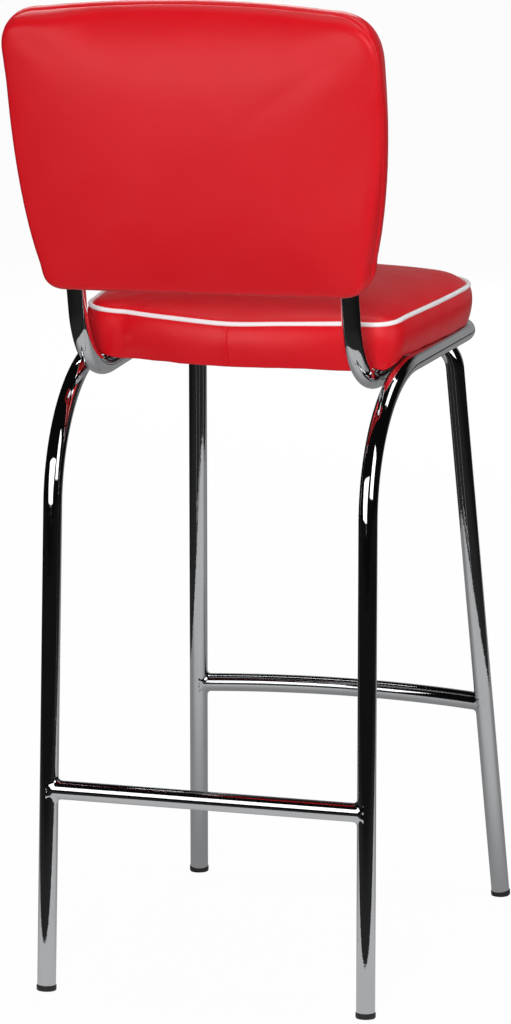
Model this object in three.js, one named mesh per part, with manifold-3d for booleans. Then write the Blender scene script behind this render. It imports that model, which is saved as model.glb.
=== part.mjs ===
// A bar-height diner stool: a bent and welded chromed tube frame with a piped seat cushion
// and a padded back on two J-shaped uprights.
// Millimetres, +Z up. The front of the seat faces -Y and the sitter's left is +X.
// The model is laid out from a point on the floor midway between the rear feet, and the finished
// group is moved so that its origin is the middle of its footprint, on the floor.

import * as THREE from 'three';
import { mergeVertices } from 'three/addons/utils/BufferGeometryUtils.js';
import Module from 'manifold-3d';

const wasm = await Module();
wasm.setup();

// Steel tube, and the clearances that every piece shares
const tubeDiameter = 22;
const tubeWall = 1.5;
const fitGap = 0.3;
const cutOverrun = 4;

// Main frame: the rear legs, the side rails and the front bar are one bent tube
const rearFootSpacing = 390;
const rearRailSpacing = 378;
const frontRailSpacing = 392;
const railHeight = 728.5;
const rearKneeReach = 42;
const rearKneeRadius = 165;
const frontBarReach = 464;
const ringCornerRadius = 68;

// Front legs: an upside-down U whose crossbar is welded under the front bar
const frontFootSpacing = 392;
const frontFootReach = 549;
const frontLegTopSpacing = 322;
const frontCornerRadius = 36;

// Stretchers and their weld fillets
const rearStretcherHeight = 238.5;
const footrestHeight = 249.5;
const footrestBow = 28;
const weldLeg = 5;
const weldLift = 0.8;

// Uprights: J-shaped tubes that run forward under the seat to the front bar
const uprightSideGap = 2.6;
const uprightCornerReach = 72;
const uprightCornerDrop = 14.5;
const uprightBendRadius = 98;
const uprightInsert = 250;
const reclineDegrees = 11;

// Foot caps
const capOverhang = 0.75;
const capHeight = 7;
const capEdge = 1.5;
const capPlugLength = 22;
const capWall = 3;

// Seat cushion, measured on the line of the piping
const seatRearReach = 99;
const seatDepth = 362;
const seatRearWidth = 380;
const seatFrontWidth = 404;
const seatRearBow = 27;
const seatFrontBow = 6;
const seatRearCorner = 44;
const seatFrontCorner = 80;
const seatSideHeight = 45;
const seatBulge = 5;
const seatEdgeRadius = 8;
const seatCrown = 7;
const seatSideRise = 2.8;
const seatRearDip = 3.7;
const seatRearSag = 8.8;
const seatSagInset = 3;
const pipingDiameter = 5.6;
const seatHem = 24;
const seatBoardThickness = 10;

// Back pad, lying across the uprights
const backRise = 99.5;
const backLength = 337.5;
const backTopWidth = 438.5;
const backBottomWidth = 396;
const backTopBow = 10;
const backTopCorner = 48;
const backBottomCorner = 36;
const backWidestRise = 246;
const backFlareShare = 0.45;
const backRearSeam = 13;
const backRearRadius = 9;
const backRearCrown = 8;
const backFrontSeam = 22;
const backFrontRadius = 9;
const backFrontCrown = 7;
const backBulge = 2;
const backBoardThickness = 7;

// Covers and boards
const coverThickness = 1.2;
const boardInset = 3;

// Brackets that carry the seat board and tie each upright to its rail
const bracketThickness = 3;
const bracketWidth = 30;
const bracketHoleInset = 17;
const bracketEndMargin = 9;
const rearBracketReach = 200;
const frontBracketReach = 370;

// Screws and tee nuts
const screwDiameter = 6;
const screwHeadDiameter = 12;
const screwHeadHeight = 3.5;
const teeFlangeDiameter = 19;
const teeFlangeThickness = 1.5;
const teeBarrelWall = 1.2;
const backScrewRises = [60, 200];

// How finely round things are divided
const tubeSides = 14;
const smallSides = 10;
const pipingSides = 6;
const kneeSteps = 8;
const cornerSteps = 6;
const bowSteps = 4;
const outlineSteps = 5;
const weldSides = 14;
const crownShares = [0.1, 0.28, 0.55];
const crownPower = 2.2;
const sagPower = 10;

const up = new THREE.Vector3(0, 0, 1);
const tubeRadius = tubeDiameter / 2;
const boreRadius = tubeRadius - tubeWall;
const recline = THREE.MathUtils.degToRad(reclineDegrees);

const chrome = { color: 0xc9ccd0, metalness: 1, roughness: 0.08 };
const zinc = { color: 0xa9adb0, metalness: 1, roughness: 0.35 };
const redVinyl = { color: 0xc4161f, metalness: 0, roughness: 0.35 };
const whiteVinyl = { color: 0xf2eef0, metalness: 0, roughness: 0.4 };
const blackPlastic = { color: 0x141416, metalness: 0, roughness: 0.5 };
const blackCloth = { color: 0x1b1b1d, metalness: 0, roughness: 0.95 };
const plywood = { color: 0xc7a373, metalness: 0, roughness: 0.7 };
const foam = { color: 0xe8dfc2, metalness: 0, roughness: 0.95 };

const point = (x, reach, z) => new THREE.Vector3(x, -reach, z);
const towards = (from, to) => to.clone().sub(from).normalize();
const midway = (a, b, share) => a + (b - a) * share;

// Solids for joining and cutting
function toSolid(geometry) {
  const bare = geometry.clone();
  bare.deleteAttribute('normal');
  bare.deleteAttribute('uv');
  const merged = mergeVertices(bare);
  return new wasm.Manifold(new wasm.Mesh({
    numProp: 3,
    vertProperties: Float32Array.from(merged.getAttribute('position').array),
    triVerts: Uint32Array.from(merged.index.array),
  }));
}

function toGeometry(solid) {
  const { vertProperties, triVerts } = solid.getMesh();
  const geometry = new THREE.BufferGeometry();
  geometry.setAttribute('position', new THREE.Float32BufferAttribute(vertProperties, 3));
  geometry.setIndex(Array.from(triVerts));
  return geometry;
}

function cut(geometry, ...cutters) {
  return toGeometry(cutters.reduce((solid, cutter) => solid.subtract(toSolid(cutter)), toSolid(geometry)));
}

function join(geometry, ...others) {
  return toGeometry(others.reduce((solid, other) => solid.add(toSolid(other)), toSolid(geometry)));
}

// Bent tubes: straights between corners, each corner rounded by a circular bend
class BentLine extends THREE.Curve {
  constructor(corners, radii, steps) {
    super();
    this.stations = [{ place: corners[0], heading: towards(corners[0], corners[1]) }];
    radii.forEach((radius, index) => this.addBend(corners.slice(index, index + 3), radius, steps[index]));
    const [beforeLast, last] = corners.slice(-2);
    this.stations.push({ place: last, heading: towards(beforeLast, last) });
  }

  addBend([before, corner, after], radius, steps) {
    const inward = towards(before, corner);
    const outward = towards(corner, after);
    const turn = inward.angleTo(outward);
    const axis = inward.clone().cross(outward).normalize();
    const start = corner.clone().addScaledVector(inward, -radius * Math.tan(turn / 2));
    const centre = start.clone().addScaledVector(axis.clone().cross(inward), radius);
    for (let step = 0; step <= steps; step += 1) {
      const spin = turn * step / steps;
      const place = start.clone().sub(centre).applyAxisAngle(axis, spin).add(centre);
      this.stations.push({ place, heading: inward.clone().applyAxisAngle(axis, spin) });
    }
  }

  station(share) {
    return this.stations[Math.round(share * (this.stations.length - 1))];
  }

  getPoint(share) {
    return this.station(share).place.clone();
  }

  getPointAt(share) {
    return this.getPoint(share);
  }

  getTangent(share) {
    return this.station(share).heading.clone();
  }

  getTangentAt(share) {
    return this.getTangent(share);
  }
}

function circle(radius, sides) {
  return Array.from({ length: sides }, (_, side) => {
    const angle = 2 * Math.PI * side / sides;
    return new THREE.Vector2(radius * Math.cos(angle), radius * Math.sin(angle));
  });
}

function rodAlong(line, radius, bore = 0) {
  const section = new THREE.Shape(circle(radius, tubeSides));
  if (bore > 0) section.holes.push(new THREE.Path(circle(bore, tubeSides)));
  const steps = line.stations.length - 1;
  return new THREE.ExtrudeGeometry(section, { steps, bevelEnabled: false, extrudePath: line });
}

const tubeAlong = (line) => rodAlong(line, tubeRadius, boreRadius);
const clearanceAlong = (line) => rodAlong(line, tubeRadius + fitGap);

// A turned piece about Z, from a profile of [radius, height] pairs
function turned(profile, sides) {
  const points = profile.map(([radius, height]) => new THREE.Vector2(radius, height));
  return new THREE.LatheGeometry(points, sides).rotateX(Math.PI / 2);
}

function pin(radius, from, to, sides = smallSides) {
  return turned([[0, from], [radius, from], [radius, to], [0, to]], sides);
}

// Moves a piece made about Z onto a place, with its axis along a heading
function setAlong(geometry, place, heading) {
  const turn = new THREE.Quaternion().setFromUnitVectors(up, heading);
  return geometry.applyQuaternion(turn).translate(place.x, place.y, place.z);
}

// A closed skin over rings of equal point counts. It ends in a fan at each end, or closes on itself.
function skin(rings, closesOnItself = false) {
  const sides = rings[0].length;
  const vertices = rings.flat();
  const faces = [];
  const bands = closesOnItself ? rings.length : rings.length - 1;
  for (let band = 0; band < bands; band += 1) {
    const low = band * sides;
    const high = ((band + 1) % rings.length) * sides;
    for (let side = 0; side < sides; side += 1) {
      const next = (side + 1) % sides;
      faces.push(low + side, low + next, high + next, low + side, high + next, high + side);
    }
  }
  if (!closesOnItself) {
    const fans = [[rings[0], 0, true], [rings[rings.length - 1], (rings.length - 1) * sides, false]];
    for (const [ring, first, downward] of fans) {
      const middle = ring.reduce((sum, place) => sum.add(place), new THREE.Vector3()).divideScalar(sides);
      vertices.push(middle);
      for (let side = 0; side < sides; side += 1) {
        const pair = [first + side, first + (side + 1) % sides];
        faces.push(vertices.length - 1, ...(downward ? pair.reverse() : pair));
      }
    }
  }
  const geometry = new THREE.BufferGeometry().setFromPoints(vertices);
  geometry.setIndex(faces);
  return geometry;
}

// Cushion outlines: points with outward normals, counterclockwise seen from the padded side
function outlineOf(shape) {
  const places = shape.getPoints(outlineSteps).slice(0, -1);
  return places.map((place, index) => {
    const before = places[(index + places.length - 1) % places.length];
    const after = places[(index + 1) % places.length];
    const along = after.clone().sub(before).normalize();
    return { place, normal: new THREE.Vector2(along.y, -along.x) };
  });
}

function ringAt(outline, outset, height) {
  return outline.map(({ place, normal }) => {
    const moved = place.clone().addScaledVector(normal, outset);
    return new THREE.Vector3(moved.x, moved.y, height);
  });
}

function shapeAt(outline, outset) {
  return new THREE.Shape(ringAt(outline, outset, 0).map((place) => new THREE.Vector2(place.x, place.y)));
}

function plate(outline, outset, bottom, thickness) {
  const shape = shapeAt(outline, outset);
  const geometry = new THREE.ExtrudeGeometry(shape, { depth: thickness, bevelEnabled: false });
  return geometry.translate(0, 0, bottom);
}

// Rings of a crowned face, from its edge to near its middle. The ring function gives a ring for an
// outset and a height. The side is 1 where the face looks up and -1 where it looks down, and the
// depth is how far the rings lie under the outer face.
function crownRings(ring, { edge, seam, radius, crown, side }, depth) {
  const rings = [];
  for (let step = 0; step <= 2; step += 1) {
    const angle = step * Math.PI / 4;
    const reach = radius - depth;
    rings.push(ring(edge - radius + reach * Math.cos(angle), seam + side * reach * Math.sin(angle)));
  }
  const rim = rings[rings.length - 1];
  const middle = rim.reduce((sum, place) => sum.add(place), new THREE.Vector3()).divideScalar(rim.length);
  for (const share of crownShares) {
    const rise = crown * (1 - (1 - share) ** crownPower);
    rings.push(rim.map((place) => place.clone().lerp(middle, share).addScaledVector(up, side * rise)));
  }
  return rings;
}

// A crowned sheet of cover material
function crownedCover(ring, face) {
  const outer = crownRings(ring, face, 0);
  const inner = crownRings(ring, face, coverThickness);
  const [lower, upper] = face.side > 0 ? [inner, outer] : [outer, inner];
  return skin([...lower.reverse(), ...upper]);
}

// Places across the height of a side wall that swells by a bulge between its two seams
function sideProfile(bottom, top, bulge) {
  const steps = 4;
  return Array.from({ length: steps + 1 }, (_, step) => {
    const share = step / steps;
    return [bulge * (1 - (2 * share - 1) ** 2), midway(bottom, top, share)];
  });
}

// Frame centrelines
const rearFoot = (side) => point(side * rearFootSpacing / 2, 0, 0);
const rearKnee = (side) => point(side * rearRailSpacing / 2, rearKneeReach, railHeight);
const ringCorner = (side) => point(side * frontRailSpacing / 2, frontBarReach, railHeight);
const crossbarHeight = railHeight - tubeDiameter - fitGap;
const frontFoot = (side) => point(side * frontFootSpacing / 2, frontFootReach, 0);
const frontLegTop = (side) => point(side * frontLegTopSpacing / 2, frontBarReach, crossbarHeight);

// Where a tube starts above its foot cap, measured along the leg
const raised = (foot, next) => foot.clone().addScaledVector(towards(foot, next), capHeight + fitGap);

const mainLine = new BentLine(
  [
    raised(rearFoot(1), rearKnee(1)), rearKnee(1), ringCorner(1),
    ringCorner(-1), rearKnee(-1), raised(rearFoot(-1), rearKnee(-1)),
  ],
  [rearKneeRadius, ringCornerRadius, ringCornerRadius, rearKneeRadius],
  [kneeSteps, cornerSteps, cornerSteps, kneeSteps],
);
const frontLine = new BentLine(
  [
    raised(frontFoot(1), frontLegTop(1)), frontLegTop(1),
    frontLegTop(-1), raised(frontFoot(-1), frontLegTop(-1)),
  ],
  [frontCornerRadius, frontCornerRadius],
  [cornerSteps, cornerSteps],
);

// The back pad's own frame lies flat: X across, Y up the pad, Z out of its front
const uprightX = rearRailSpacing / 2 - tubeDiameter - uprightSideGap;
const uprightCorner = (side) => point(side * uprightX, uprightCornerReach, railHeight - uprightCornerDrop);
const backBottomHeight = railHeight + backRise;
const uprightReachAt = (height) => uprightCornerReach
  - (height - railHeight + uprightCornerDrop) * Math.tan(recline);
const backFrame = new THREE.Matrix4()
  .makeRotationX(Math.PI / 2 - recline)
  .setPosition(point(0, uprightReachAt(backBottomHeight), backBottomHeight));

// Each run ends on the front bar or, where that bar is already bending back, on its corner
const pastStraight = Math.max(uprightX - frontRailSpacing / 2 + ringCornerRadius, 0);
const barSetback = ringCornerRadius - Math.sqrt(ringCornerRadius ** 2 - pastStraight ** 2);
const runEnd = (side) => point(side * uprightX, frontBarReach - barSetback - tubeWall, railHeight);
const uprightLine = (side) => new BentLine(
  [
    new THREE.Vector3(side * uprightX, uprightInsert, 0).applyMatrix4(backFrame),
    uprightCorner(side), runEnd(side),
  ],
  [uprightBendRadius],
  [kneeSteps],
);

// Seat levels, from the rails up
const railTop = railHeight + tubeRadius;
const seatBottom = railTop + fitGap;
const seatBoardBottom = seatBottom + coverThickness + fitGap;
const seatBoardTop = seatBoardBottom + seatBoardThickness;
const pipingRadius = pipingDiameter / 2;
const pipingHeight = seatBottom + seatSideHeight;
const bandTop = pipingHeight - pipingRadius - fitGap;

function seatShape() {
  const rear = -seatRearReach - seatRearBow;
  const front = -seatRearReach - seatDepth + seatFrontBow;
  const rearX = seatRearWidth / 2;
  const frontX = seatFrontWidth / 2;
  const shape = new THREE.Shape();
  shape.moveTo(frontX, front + seatFrontCorner);
  shape.quadraticCurveTo(frontX, midway(front, rear, 1 / 2), rearX, rear - seatRearCorner);
  shape.quadraticCurveTo(rearX, rear, rearX - seatRearCorner, rear);
  shape.quadraticCurveTo(0, rear + 2 * seatRearBow, seatRearCorner - rearX, rear);
  shape.quadraticCurveTo(-rearX, rear, -rearX, rear - seatRearCorner);
  shape.quadraticCurveTo(-frontX, midway(front, rear, 1 / 2), -frontX, front + seatFrontCorner);
  shape.quadraticCurveTo(-frontX, front, seatFrontCorner - frontX, front);
  shape.quadraticCurveTo(0, front - 2 * seatFrontBow, frontX - seatFrontCorner, front);
  shape.quadraticCurveTo(frontX, front, frontX, front + seatFrontCorner);
  return shape;
}

function backShape() {
  const bottomX = backBottomWidth / 2;
  const topX = backTopWidth / 2;
  const top = backLength - backTopBow;
  const flareRise = midway(backBottomCorner, backWidestRise, backFlareShare);
  const shape = new THREE.Shape();
  shape.moveTo(bottomX, backBottomCorner);
  shape.quadraticCurveTo(topX, flareRise, topX, backWidestRise);
  shape.lineTo(topX, top - backTopCorner);
  shape.quadraticCurveTo(topX, top, topX - backTopCorner, top);
  shape.quadraticCurveTo(0, top + 2 * backTopBow, backTopCorner - topX, top);
  shape.quadraticCurveTo(-topX, top, -topX, top - backTopCorner);
  shape.lineTo(-topX, backWidestRise);
  shape.quadraticCurveTo(-topX, flareRise, -bottomX, backBottomCorner);
  shape.quadraticCurveTo(-bottomX, 0, backBottomCorner - bottomX, 0);
  shape.lineTo(bottomX - backBottomCorner, 0);
  shape.quadraticCurveTo(bottomX, 0, bottomX, backBottomCorner);
  return shape;
}

const seatOutline = outlineOf(seatShape());
const backOutline = outlineOf(backShape());

// A ring of the seat's side. The piping rises along the sides and dips at the rear, and the lower
// edge sags between the uprights.
function seatRing(outset, height) {
  const share = THREE.MathUtils.clamp((height - seatBottom) / (bandTop - seatBottom), 0, 1);
  const swell = (distance, half) => Math.max(1 - (distance / half) ** 2, 0);
  return ringAt(seatOutline, outset, height).map((place, index) => {
    const { normal } = seatOutline[index];
    const rearward = Math.max(normal.y, 0);
    const fromMiddle = place.y + seatRearReach + seatDepth / 2;
    const rise = seatSideRise * Math.abs(normal.x) * swell(fromMiddle, seatDepth / 2);
    const dip = seatRearDip * rearward * swell(place.x, seatRearWidth / 2);
    const sagShare = Math.abs(place.x) / (seatRearWidth / 2 - seatSagInset);
    const sag = seatRearSag * rearward * Math.max(1 - sagShare ** sagPower, 0);
    return place.setZ(height + midway(-sag, rise - dip, share));
  });
}

const backRing = (outset, height) => ringAt(backOutline, outset, height);
const seatTopFace = {
  edge: -pipingRadius - fitGap, seam: pipingHeight, radius: seatEdgeRadius, crown: seatCrown, side: 1,
};
const backFrontFace = {
  edge: 0, seam: backFrontSeam, radius: backFrontRadius, crown: backFrontCrown, side: 1,
};
const backRearFace = {
  edge: 0, seam: -backRearSeam, radius: backRearRadius, crown: backRearCrown, side: -1,
};
const foamDepth = coverThickness + fitGap;

// A weld fillet round the end of a tube that meets a leg. It is a ring of five points a side:
// on the tube, in the hollow of the fillet, on the leg, and two buried inside the tube's wall.
function weldFillet(joint, outward, legHeading) {
  const across = outward.clone().cross(legHeading).normalize();
  const upright = across.clone().cross(outward).normalize();
  const buried = tubeRadius - tubeWall / 2;
  const reachAt = (radial, size, distance) => {
    const spoke = radial.clone().multiplyScalar(size).projectOnPlane(legHeading);
    const run = outward.clone().projectOnPlane(legHeading);
    const middle = spoke.dot(run) / run.lengthSq();
    const spread = middle ** 2 - (spoke.lengthSq() - distance ** 2) / run.lengthSq();
    return -middle + Math.sqrt(Math.max(spread, 0));
  };
  const rings = Array.from({ length: weldSides }, (_, side) => {
    const angle = 2 * Math.PI * side / weldSides;
    const radial = upright.clone().multiplyScalar(Math.cos(angle)).addScaledVector(across, Math.sin(angle));
    const steepness = Math.abs(Math.cos(angle));
    const root = reachAt(radial, tubeRadius, tubeRadius);
    const legSurface = tubeRadius + weldLift;
    const wide = tubeRadius + midway(weldLift, weldLeg, steepness);
    const at = (size, reach) => joint.clone().addScaledVector(radial, size).addScaledVector(outward, reach);
    const onTube = at(tubeRadius + weldLift / 2, root + weldLeg);
    const onLeg = at(wide, reachAt(radial, wide, legSurface));
    const hollow = onTube.clone().lerp(onLeg, 1 / 2).lerp(at(tubeRadius, root), 1 / 3);
    const inner = [at(buried, reachAt(radial, buried, tubeRadius)), at(buried, root + weldLeg)];
    return [onTube, hollow, onLeg, ...inner];
  });
  return skin(rings, true);
}

// A tube between two legs, coped round each of them and welded with a fillet
function stretcher(line, legLine) {
  const ends = [line.stations[0], line.stations[line.stations.length - 1]];
  const fillets = ends.map(({ place, heading }, index) => {
    const outward = index === 0 ? heading : heading.clone().negate();
    const leg = place.x > 0 ? legLine.stations[0] : legLine.stations[legLine.stations.length - 1];
    return weldFillet(place, outward, leg.heading);
  });
  return cut(join(tubeAlong(line), ...fillets), clearanceAlong(legLine));
}

// The place of a leg's centreline at a height
function onLeg(foot, top, height) {
  return foot.clone().lerp(top, height / top.z);
}

const stool = new THREE.Group();
const pieces = new THREE.Group();
const backPad = new THREE.Group();
stool.add(pieces);
pieces.add(backPad);

function addPiece(name, geometry, finish, parent = pieces) {
  const mesh = new THREE.Mesh(geometry, new THREE.MeshStandardMaterial({ ...finish, flatShading: true }));
  mesh.name = name;
  parent.add(mesh);
  return mesh;
}

const sides = [['left', 1], ['right', -1]];

function addFrame() {
  addPiece('main_frame_tube', tubeAlong(mainLine), chrome);
  addPiece('front_leg_tube', tubeAlong(frontLine), chrome);
  const rearEnds = [1, -1].map((side) => onLeg(rearFoot(side), rearKnee(side), rearStretcherHeight));
  addPiece('rear_stretcher', stretcher(new BentLine(rearEnds, [], []), mainLine), chrome);
  addPiece('front_footrest', stretcher(footrestLine(), frontLine), chrome);
}

// The footrest is a flat arc that bows forward between the front legs
function footrestLine() {
  const [left, right] = [1, -1].map((side) => onLeg(frontFoot(side), frontLegTop(side), footrestHeight));
  const radius = (left.x ** 2 + footrestBow ** 2) / (2 * footrestBow);
  const halfTurn = Math.asin(left.x / radius);
  const corner = point(0, -left.y + left.x * Math.tan(halfTurn), footrestHeight);
  const line = new BentLine([left, corner, right], [radius], [bowSteps]);
  line.stations = line.stations.slice(1, -1);
  return line;
}

function addUprights() {
  for (const [hand, side] of sides) {
    const line = uprightLine(side);
    const holes = backScrewRises.map((rise) => pin(screwDiameter / 2 + fitGap, -tubeDiameter, tubeDiameter)
      .translate(side * uprightX, rise, 0)
      .applyMatrix4(backFrame));
    addPiece(`back_upright_${hand}`, cut(tubeAlong(line), clearanceAlong(mainLine), ...holes), chrome);
  }
}

function footCap(foot, next) {
  const heading = towards(foot, next);
  const rim = tubeRadius + capOverhang;
  const plug = boreRadius - fitGap;
  const top = capHeight + capPlugLength;
  const profile = [
    [0, -cutOverrun], [rim - capEdge, -cutOverrun], [rim - capEdge, 0], [rim, capEdge], [rim, capHeight],
    [plug, capHeight], [plug, top - capEdge], [plug - capEdge, top], [plug - capWall, top],
    [plug - capWall, capHeight], [0, capHeight],
  ];
  const floor = new THREE.BoxGeometry(tubeDiameter * 2, tubeDiameter * 2, tubeDiameter);
  floor.translate(foot.x, foot.y, -tubeDiameter / 2);
  return cut(setAlong(turned(profile, tubeSides), foot, heading), floor);
}

function addFootCaps() {
  for (const [hand, side] of sides) {
    addPiece(`foot_cap_rear_${hand}`, footCap(rearFoot(side), rearKnee(side)), blackPlastic);
    addPiece(`foot_cap_front_${hand}`, footCap(frontFoot(side), frontLegTop(side)), blackPlastic);
  }
}

// Seat screws stand inside the uprights' runs, on the brackets
const seatScrewX = uprightX - bracketHoleInset;
const bracketReaches = [['rear', rearBracketReach], ['front', frontBracketReach]];

// A bracket is a flat tab with a web under it, coped to the rail beside it and the run below it
function seatBracket(side, reach) {
  const railShare = (reach - rearKneeReach) / (frontBarReach - rearKneeReach);
  const railX = midway(rearRailSpacing, frontRailSpacing, railShare) / 2;
  const inner = seatScrewX - bracketEndMargin;
  const under = railTop - bracketThickness;
  const [runStart, runStop] = [uprightCorner(side), runEnd(side)];
  const webBottom = midway(runStart.z, runStop.z, (reach + runStart.y) / (runStart.y - runStop.y));
  const profile = new THREE.Shape([
    [inner, railTop], [inner, under], [uprightX - bracketThickness / 2, under],
    [uprightX - bracketThickness / 2, webBottom], [uprightX + bracketThickness / 2, webBottom],
    [uprightX + bracketThickness / 2, under], [railX, under], [railX, railTop],
  ].map(([x, z]) => new THREE.Vector2(x, z)));
  const bar = new THREE.ExtrudeGeometry(profile, { depth: bracketWidth, bevelEnabled: false });
  bar.rotateX(Math.PI / 2).translate(0, bracketWidth / 2 - reach, 0);
  const hole = pin(screwDiameter / 2 + fitGap, under - cutOverrun, railTop + cutOverrun);
  hole.translate(seatScrewX, -reach, 0);
  const tab = cut(bar, clearanceAlong(mainLine), clearanceAlong(uprightLine(1)), hole);
  return side > 0 ? tab : mirrored(tab);
}

// The same piece for the other hand, with its faces turned to keep pointing out
function mirrored(geometry) {
  geometry.scale(-1, 1, 1);
  const index = geometry.index;
  for (let face = 0; face < index.count; face += 3) {
    const corner = index.getX(face + 1);
    index.setX(face + 1, index.getX(face + 2));
    index.setX(face + 2, corner);
  }
  return geometry;
}

// A pan-head screw that stands on its head, which ends at height 0
function screw(length) {
  const head = screwHeadDiameter / 2;
  const shank = screwDiameter / 2;
  return turned([
    [0, -screwHeadHeight], [head / 2, -screwHeadHeight], [head, -screwHeadHeight / 3], [head, 0],
    [shank, 0], [shank, length], [0, length],
  ], smallSides);
}

// A tee nut whose flange ends flush with height 0, with its barrel below
function teeNut(barrelLength) {
  const bore = screwDiameter / 2 + fitGap;
  const barrel = bore + teeBarrelWall;
  const flange = teeFlangeDiameter / 2;
  return turned([
    [bore, -barrelLength], [barrel, -barrelLength], [barrel, -teeFlangeThickness],
    [flange, -teeFlangeThickness], [flange, 0], [bore, 0], [bore, -barrelLength],
  ], smallSides);
}

// The stepped hole that a tee nut sits in, down through a board from height 0
function teeNutHole(boardThickness) {
  const barrel = screwDiameter / 2 + teeBarrelWall + 2 * fitGap;
  const flange = teeFlangeDiameter / 2 + fitGap;
  const step = -teeFlangeThickness - fitGap;
  return turned([
    [0, -boardThickness - cutOverrun], [barrel, -boardThickness - cutOverrun], [barrel, step],
    [flange, step], [flange, cutOverrun], [0, cutOverrun],
  ], smallSides);
}

function seatScrewPlaces() {
  return bracketReaches.flatMap(([end, reach]) => sides.map(([hand, side]) => (
    { label: `${end}_${hand}`, side, x: side * seatScrewX, y: -reach }
  )));
}

// What the seat's screws take out of the sheets under the board, so that they pass at any seat size
function seatScrewHoles() {
  return seatScrewPlaces().map(({ x, y }) => (
    pin(screwDiameter / 2 + fitGap, seatBottom - cutOverrun, seatBottom + cutOverrun).translate(x, y, 0)
  ));
}

function addSeatBase() {
  const spots = seatScrewPlaces();
  const boardHoles = spots.map(({ x, y }) => teeNutHole(seatBoardThickness).translate(x, y, seatBoardTop));
  const board = plate(seatOutline, -boardInset, seatBoardBottom, seatBoardThickness);
  addPiece('seat_board', cut(board, ...boardHoles), plywood);
  const cloth = plate(seatOutline, -seatHem - fitGap, seatBottom, coverThickness);
  addPiece('seat_dust_cover', cut(cloth, ...seatScrewHoles()), blackCloth);
  const headTop = railTop - bracketThickness - fitGap;
  for (const { label, side, x, y } of spots) {
    addPiece(`seat_bracket_${label}`, seatBracket(side, -y), chrome);
    addPiece(`seat_screw_${label}`, screw(seatBoardTop - headTop).translate(x, y, headTop), zinc);
    addPiece(`seat_tee_nut_${label}`, teeNut(seatBoardThickness).translate(x, y, seatBoardTop), zinc);
  }
}

function addSeatCushion() {
  addPiece('seat_top_cover', crownedCover(seatRing, seatTopFace), redVinyl);

  // The side band swells between the piping and the board, and its hem turns under the board
  const outer = sideProfile(seatBottom, bandTop, seatBulge);
  const inner = sideProfile(seatBottom + coverThickness, bandTop, seatBulge).reverse();
  const bandRings = [
    ringAt(seatOutline, -seatHem, seatBottom),
    ...outer.map(([outset, height]) => seatRing(outset, height)),
    ...inner.map(([outset, height]) => seatRing(outset - coverThickness, height)),
    ringAt(seatOutline, -seatHem, seatBottom + coverThickness),
  ];
  addPiece('seat_side_band', cut(skin(bandRings, true), ...seatScrewHoles()), redVinyl);

  const pipingRings = circle(pipingRadius, pipingSides)
    .map(({ x, y }) => seatRing(x, pipingHeight + y));
  addPiece('seat_piping', skin(pipingRings, true), whiteVinyl);

  const foamBottom = seatBoardTop + fitGap;
  const foamSide = sideProfile(seatBottom, bandTop, seatBulge)
    .filter(([, height]) => height > foamBottom)
    .map(([outset, height]) => seatRing(outset - foamDepth, height - fitGap));
  const foamRings = [
    ringAt(seatOutline, -foamDepth, foamBottom), ...foamSide,
    ...crownRings(seatRing, seatTopFace, foamDepth),
  ];
  addPiece('seat_foam', skin(foamRings), foam);
}

function backScrewPlaces() {
  return backScrewRises.flatMap((rise, row) => sides.map(([hand, side]) => (
    { label: `${row === 0 ? 'lower' : 'upper'}_${hand}`, x: side * uprightX, y: rise }
  )));
}

function addBackPad() {
  const spots = backScrewPlaces();
  const boardRear = tubeRadius + fitGap;
  const boardFront = boardRear + backBoardThickness;
  const board = plate(backOutline, -boardInset, boardRear, backBoardThickness);
  const boardHoles = spots.map(({ x, y }) => teeNutHole(backBoardThickness).translate(x, y, boardFront));
  addPiece('back_board', cut(board, ...boardHoles), plywood, backPad);

  for (const { label, x, y } of spots) {
    const headTop = -tubeRadius - fitGap;
    addPiece(`back_screw_${label}`, screw(boardFront - headTop).translate(x, y, headTop), zinc, backPad);
    const nut = teeNut(backBoardThickness).translate(x, y, boardFront);
    addPiece(`back_tee_nut_${label}`, nut, zinc, backPad);
  }

  addPiece('back_front_cover', crownedCover(backRing, backFrontFace), redVinyl, backPad);
  addPiece('back_rear_cover', crownedCover(backRing, backRearFace), redVinyl, backPad);

  // The side band lies between the two seams, with a hole for each upright at the bottom
  const bandProfile = sideProfile(fitGap - backRearSeam, backFrontSeam - fitGap, backBulge);
  const bandRings = [
    ...bandProfile.map(([outset, height]) => backRing(outset, height)),
    ...bandProfile.map(([outset, height]) => backRing(outset - coverThickness, height)).reverse(),
  ];
  const channels = sides.map(([, side]) => uprightChannel(side, tubeRadius + fitGap));
  addPiece('back_side_band', cut(skin(bandRings, true), ...channels), redVinyl, backPad);

  const frontFoamRings = [
    backRing(-foamDepth, boardFront + fitGap),
    ...crownRings(backRing, backFrontFace, foamDepth),
  ];
  addPiece('back_front_foam', skin(frontFoamRings), foam, backPad);

  const rearFoamRings = [
    ...crownRings(backRing, backRearFace, foamDepth).reverse(),
    backRing(-foamDepth, tubeRadius),
  ];
  const slots = sides.map(([, side]) => new THREE.BoxGeometry(
    2 * (tubeRadius + fitGap), 2 * (uprightInsert + tubeRadius), tubeRadius + cutOverrun,
  ).translate(side * uprightX, 0, (tubeRadius + cutOverrun) / 2));
  const pockets = spots.map(({ x, y }) => (
    pin(screwHeadDiameter / 2 + fitGap, -tubeRadius - screwHeadHeight - 2 * fitGap, 0).translate(x, y, 0)
  ));
  addPiece('back_rear_foam', cut(skin(rearFoamRings), ...channels, ...slots, ...pockets), foam, backPad);
}

// The space that an upright takes in the pad, from below the pad to just past the tube's end
function uprightChannel(side, radius) {
  const rod = pin(radius, -uprightInsert, uprightInsert + fitGap, tubeSides);
  return rod.rotateX(-Math.PI / 2).translate(side * uprightX, 0, 0);
}

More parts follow.
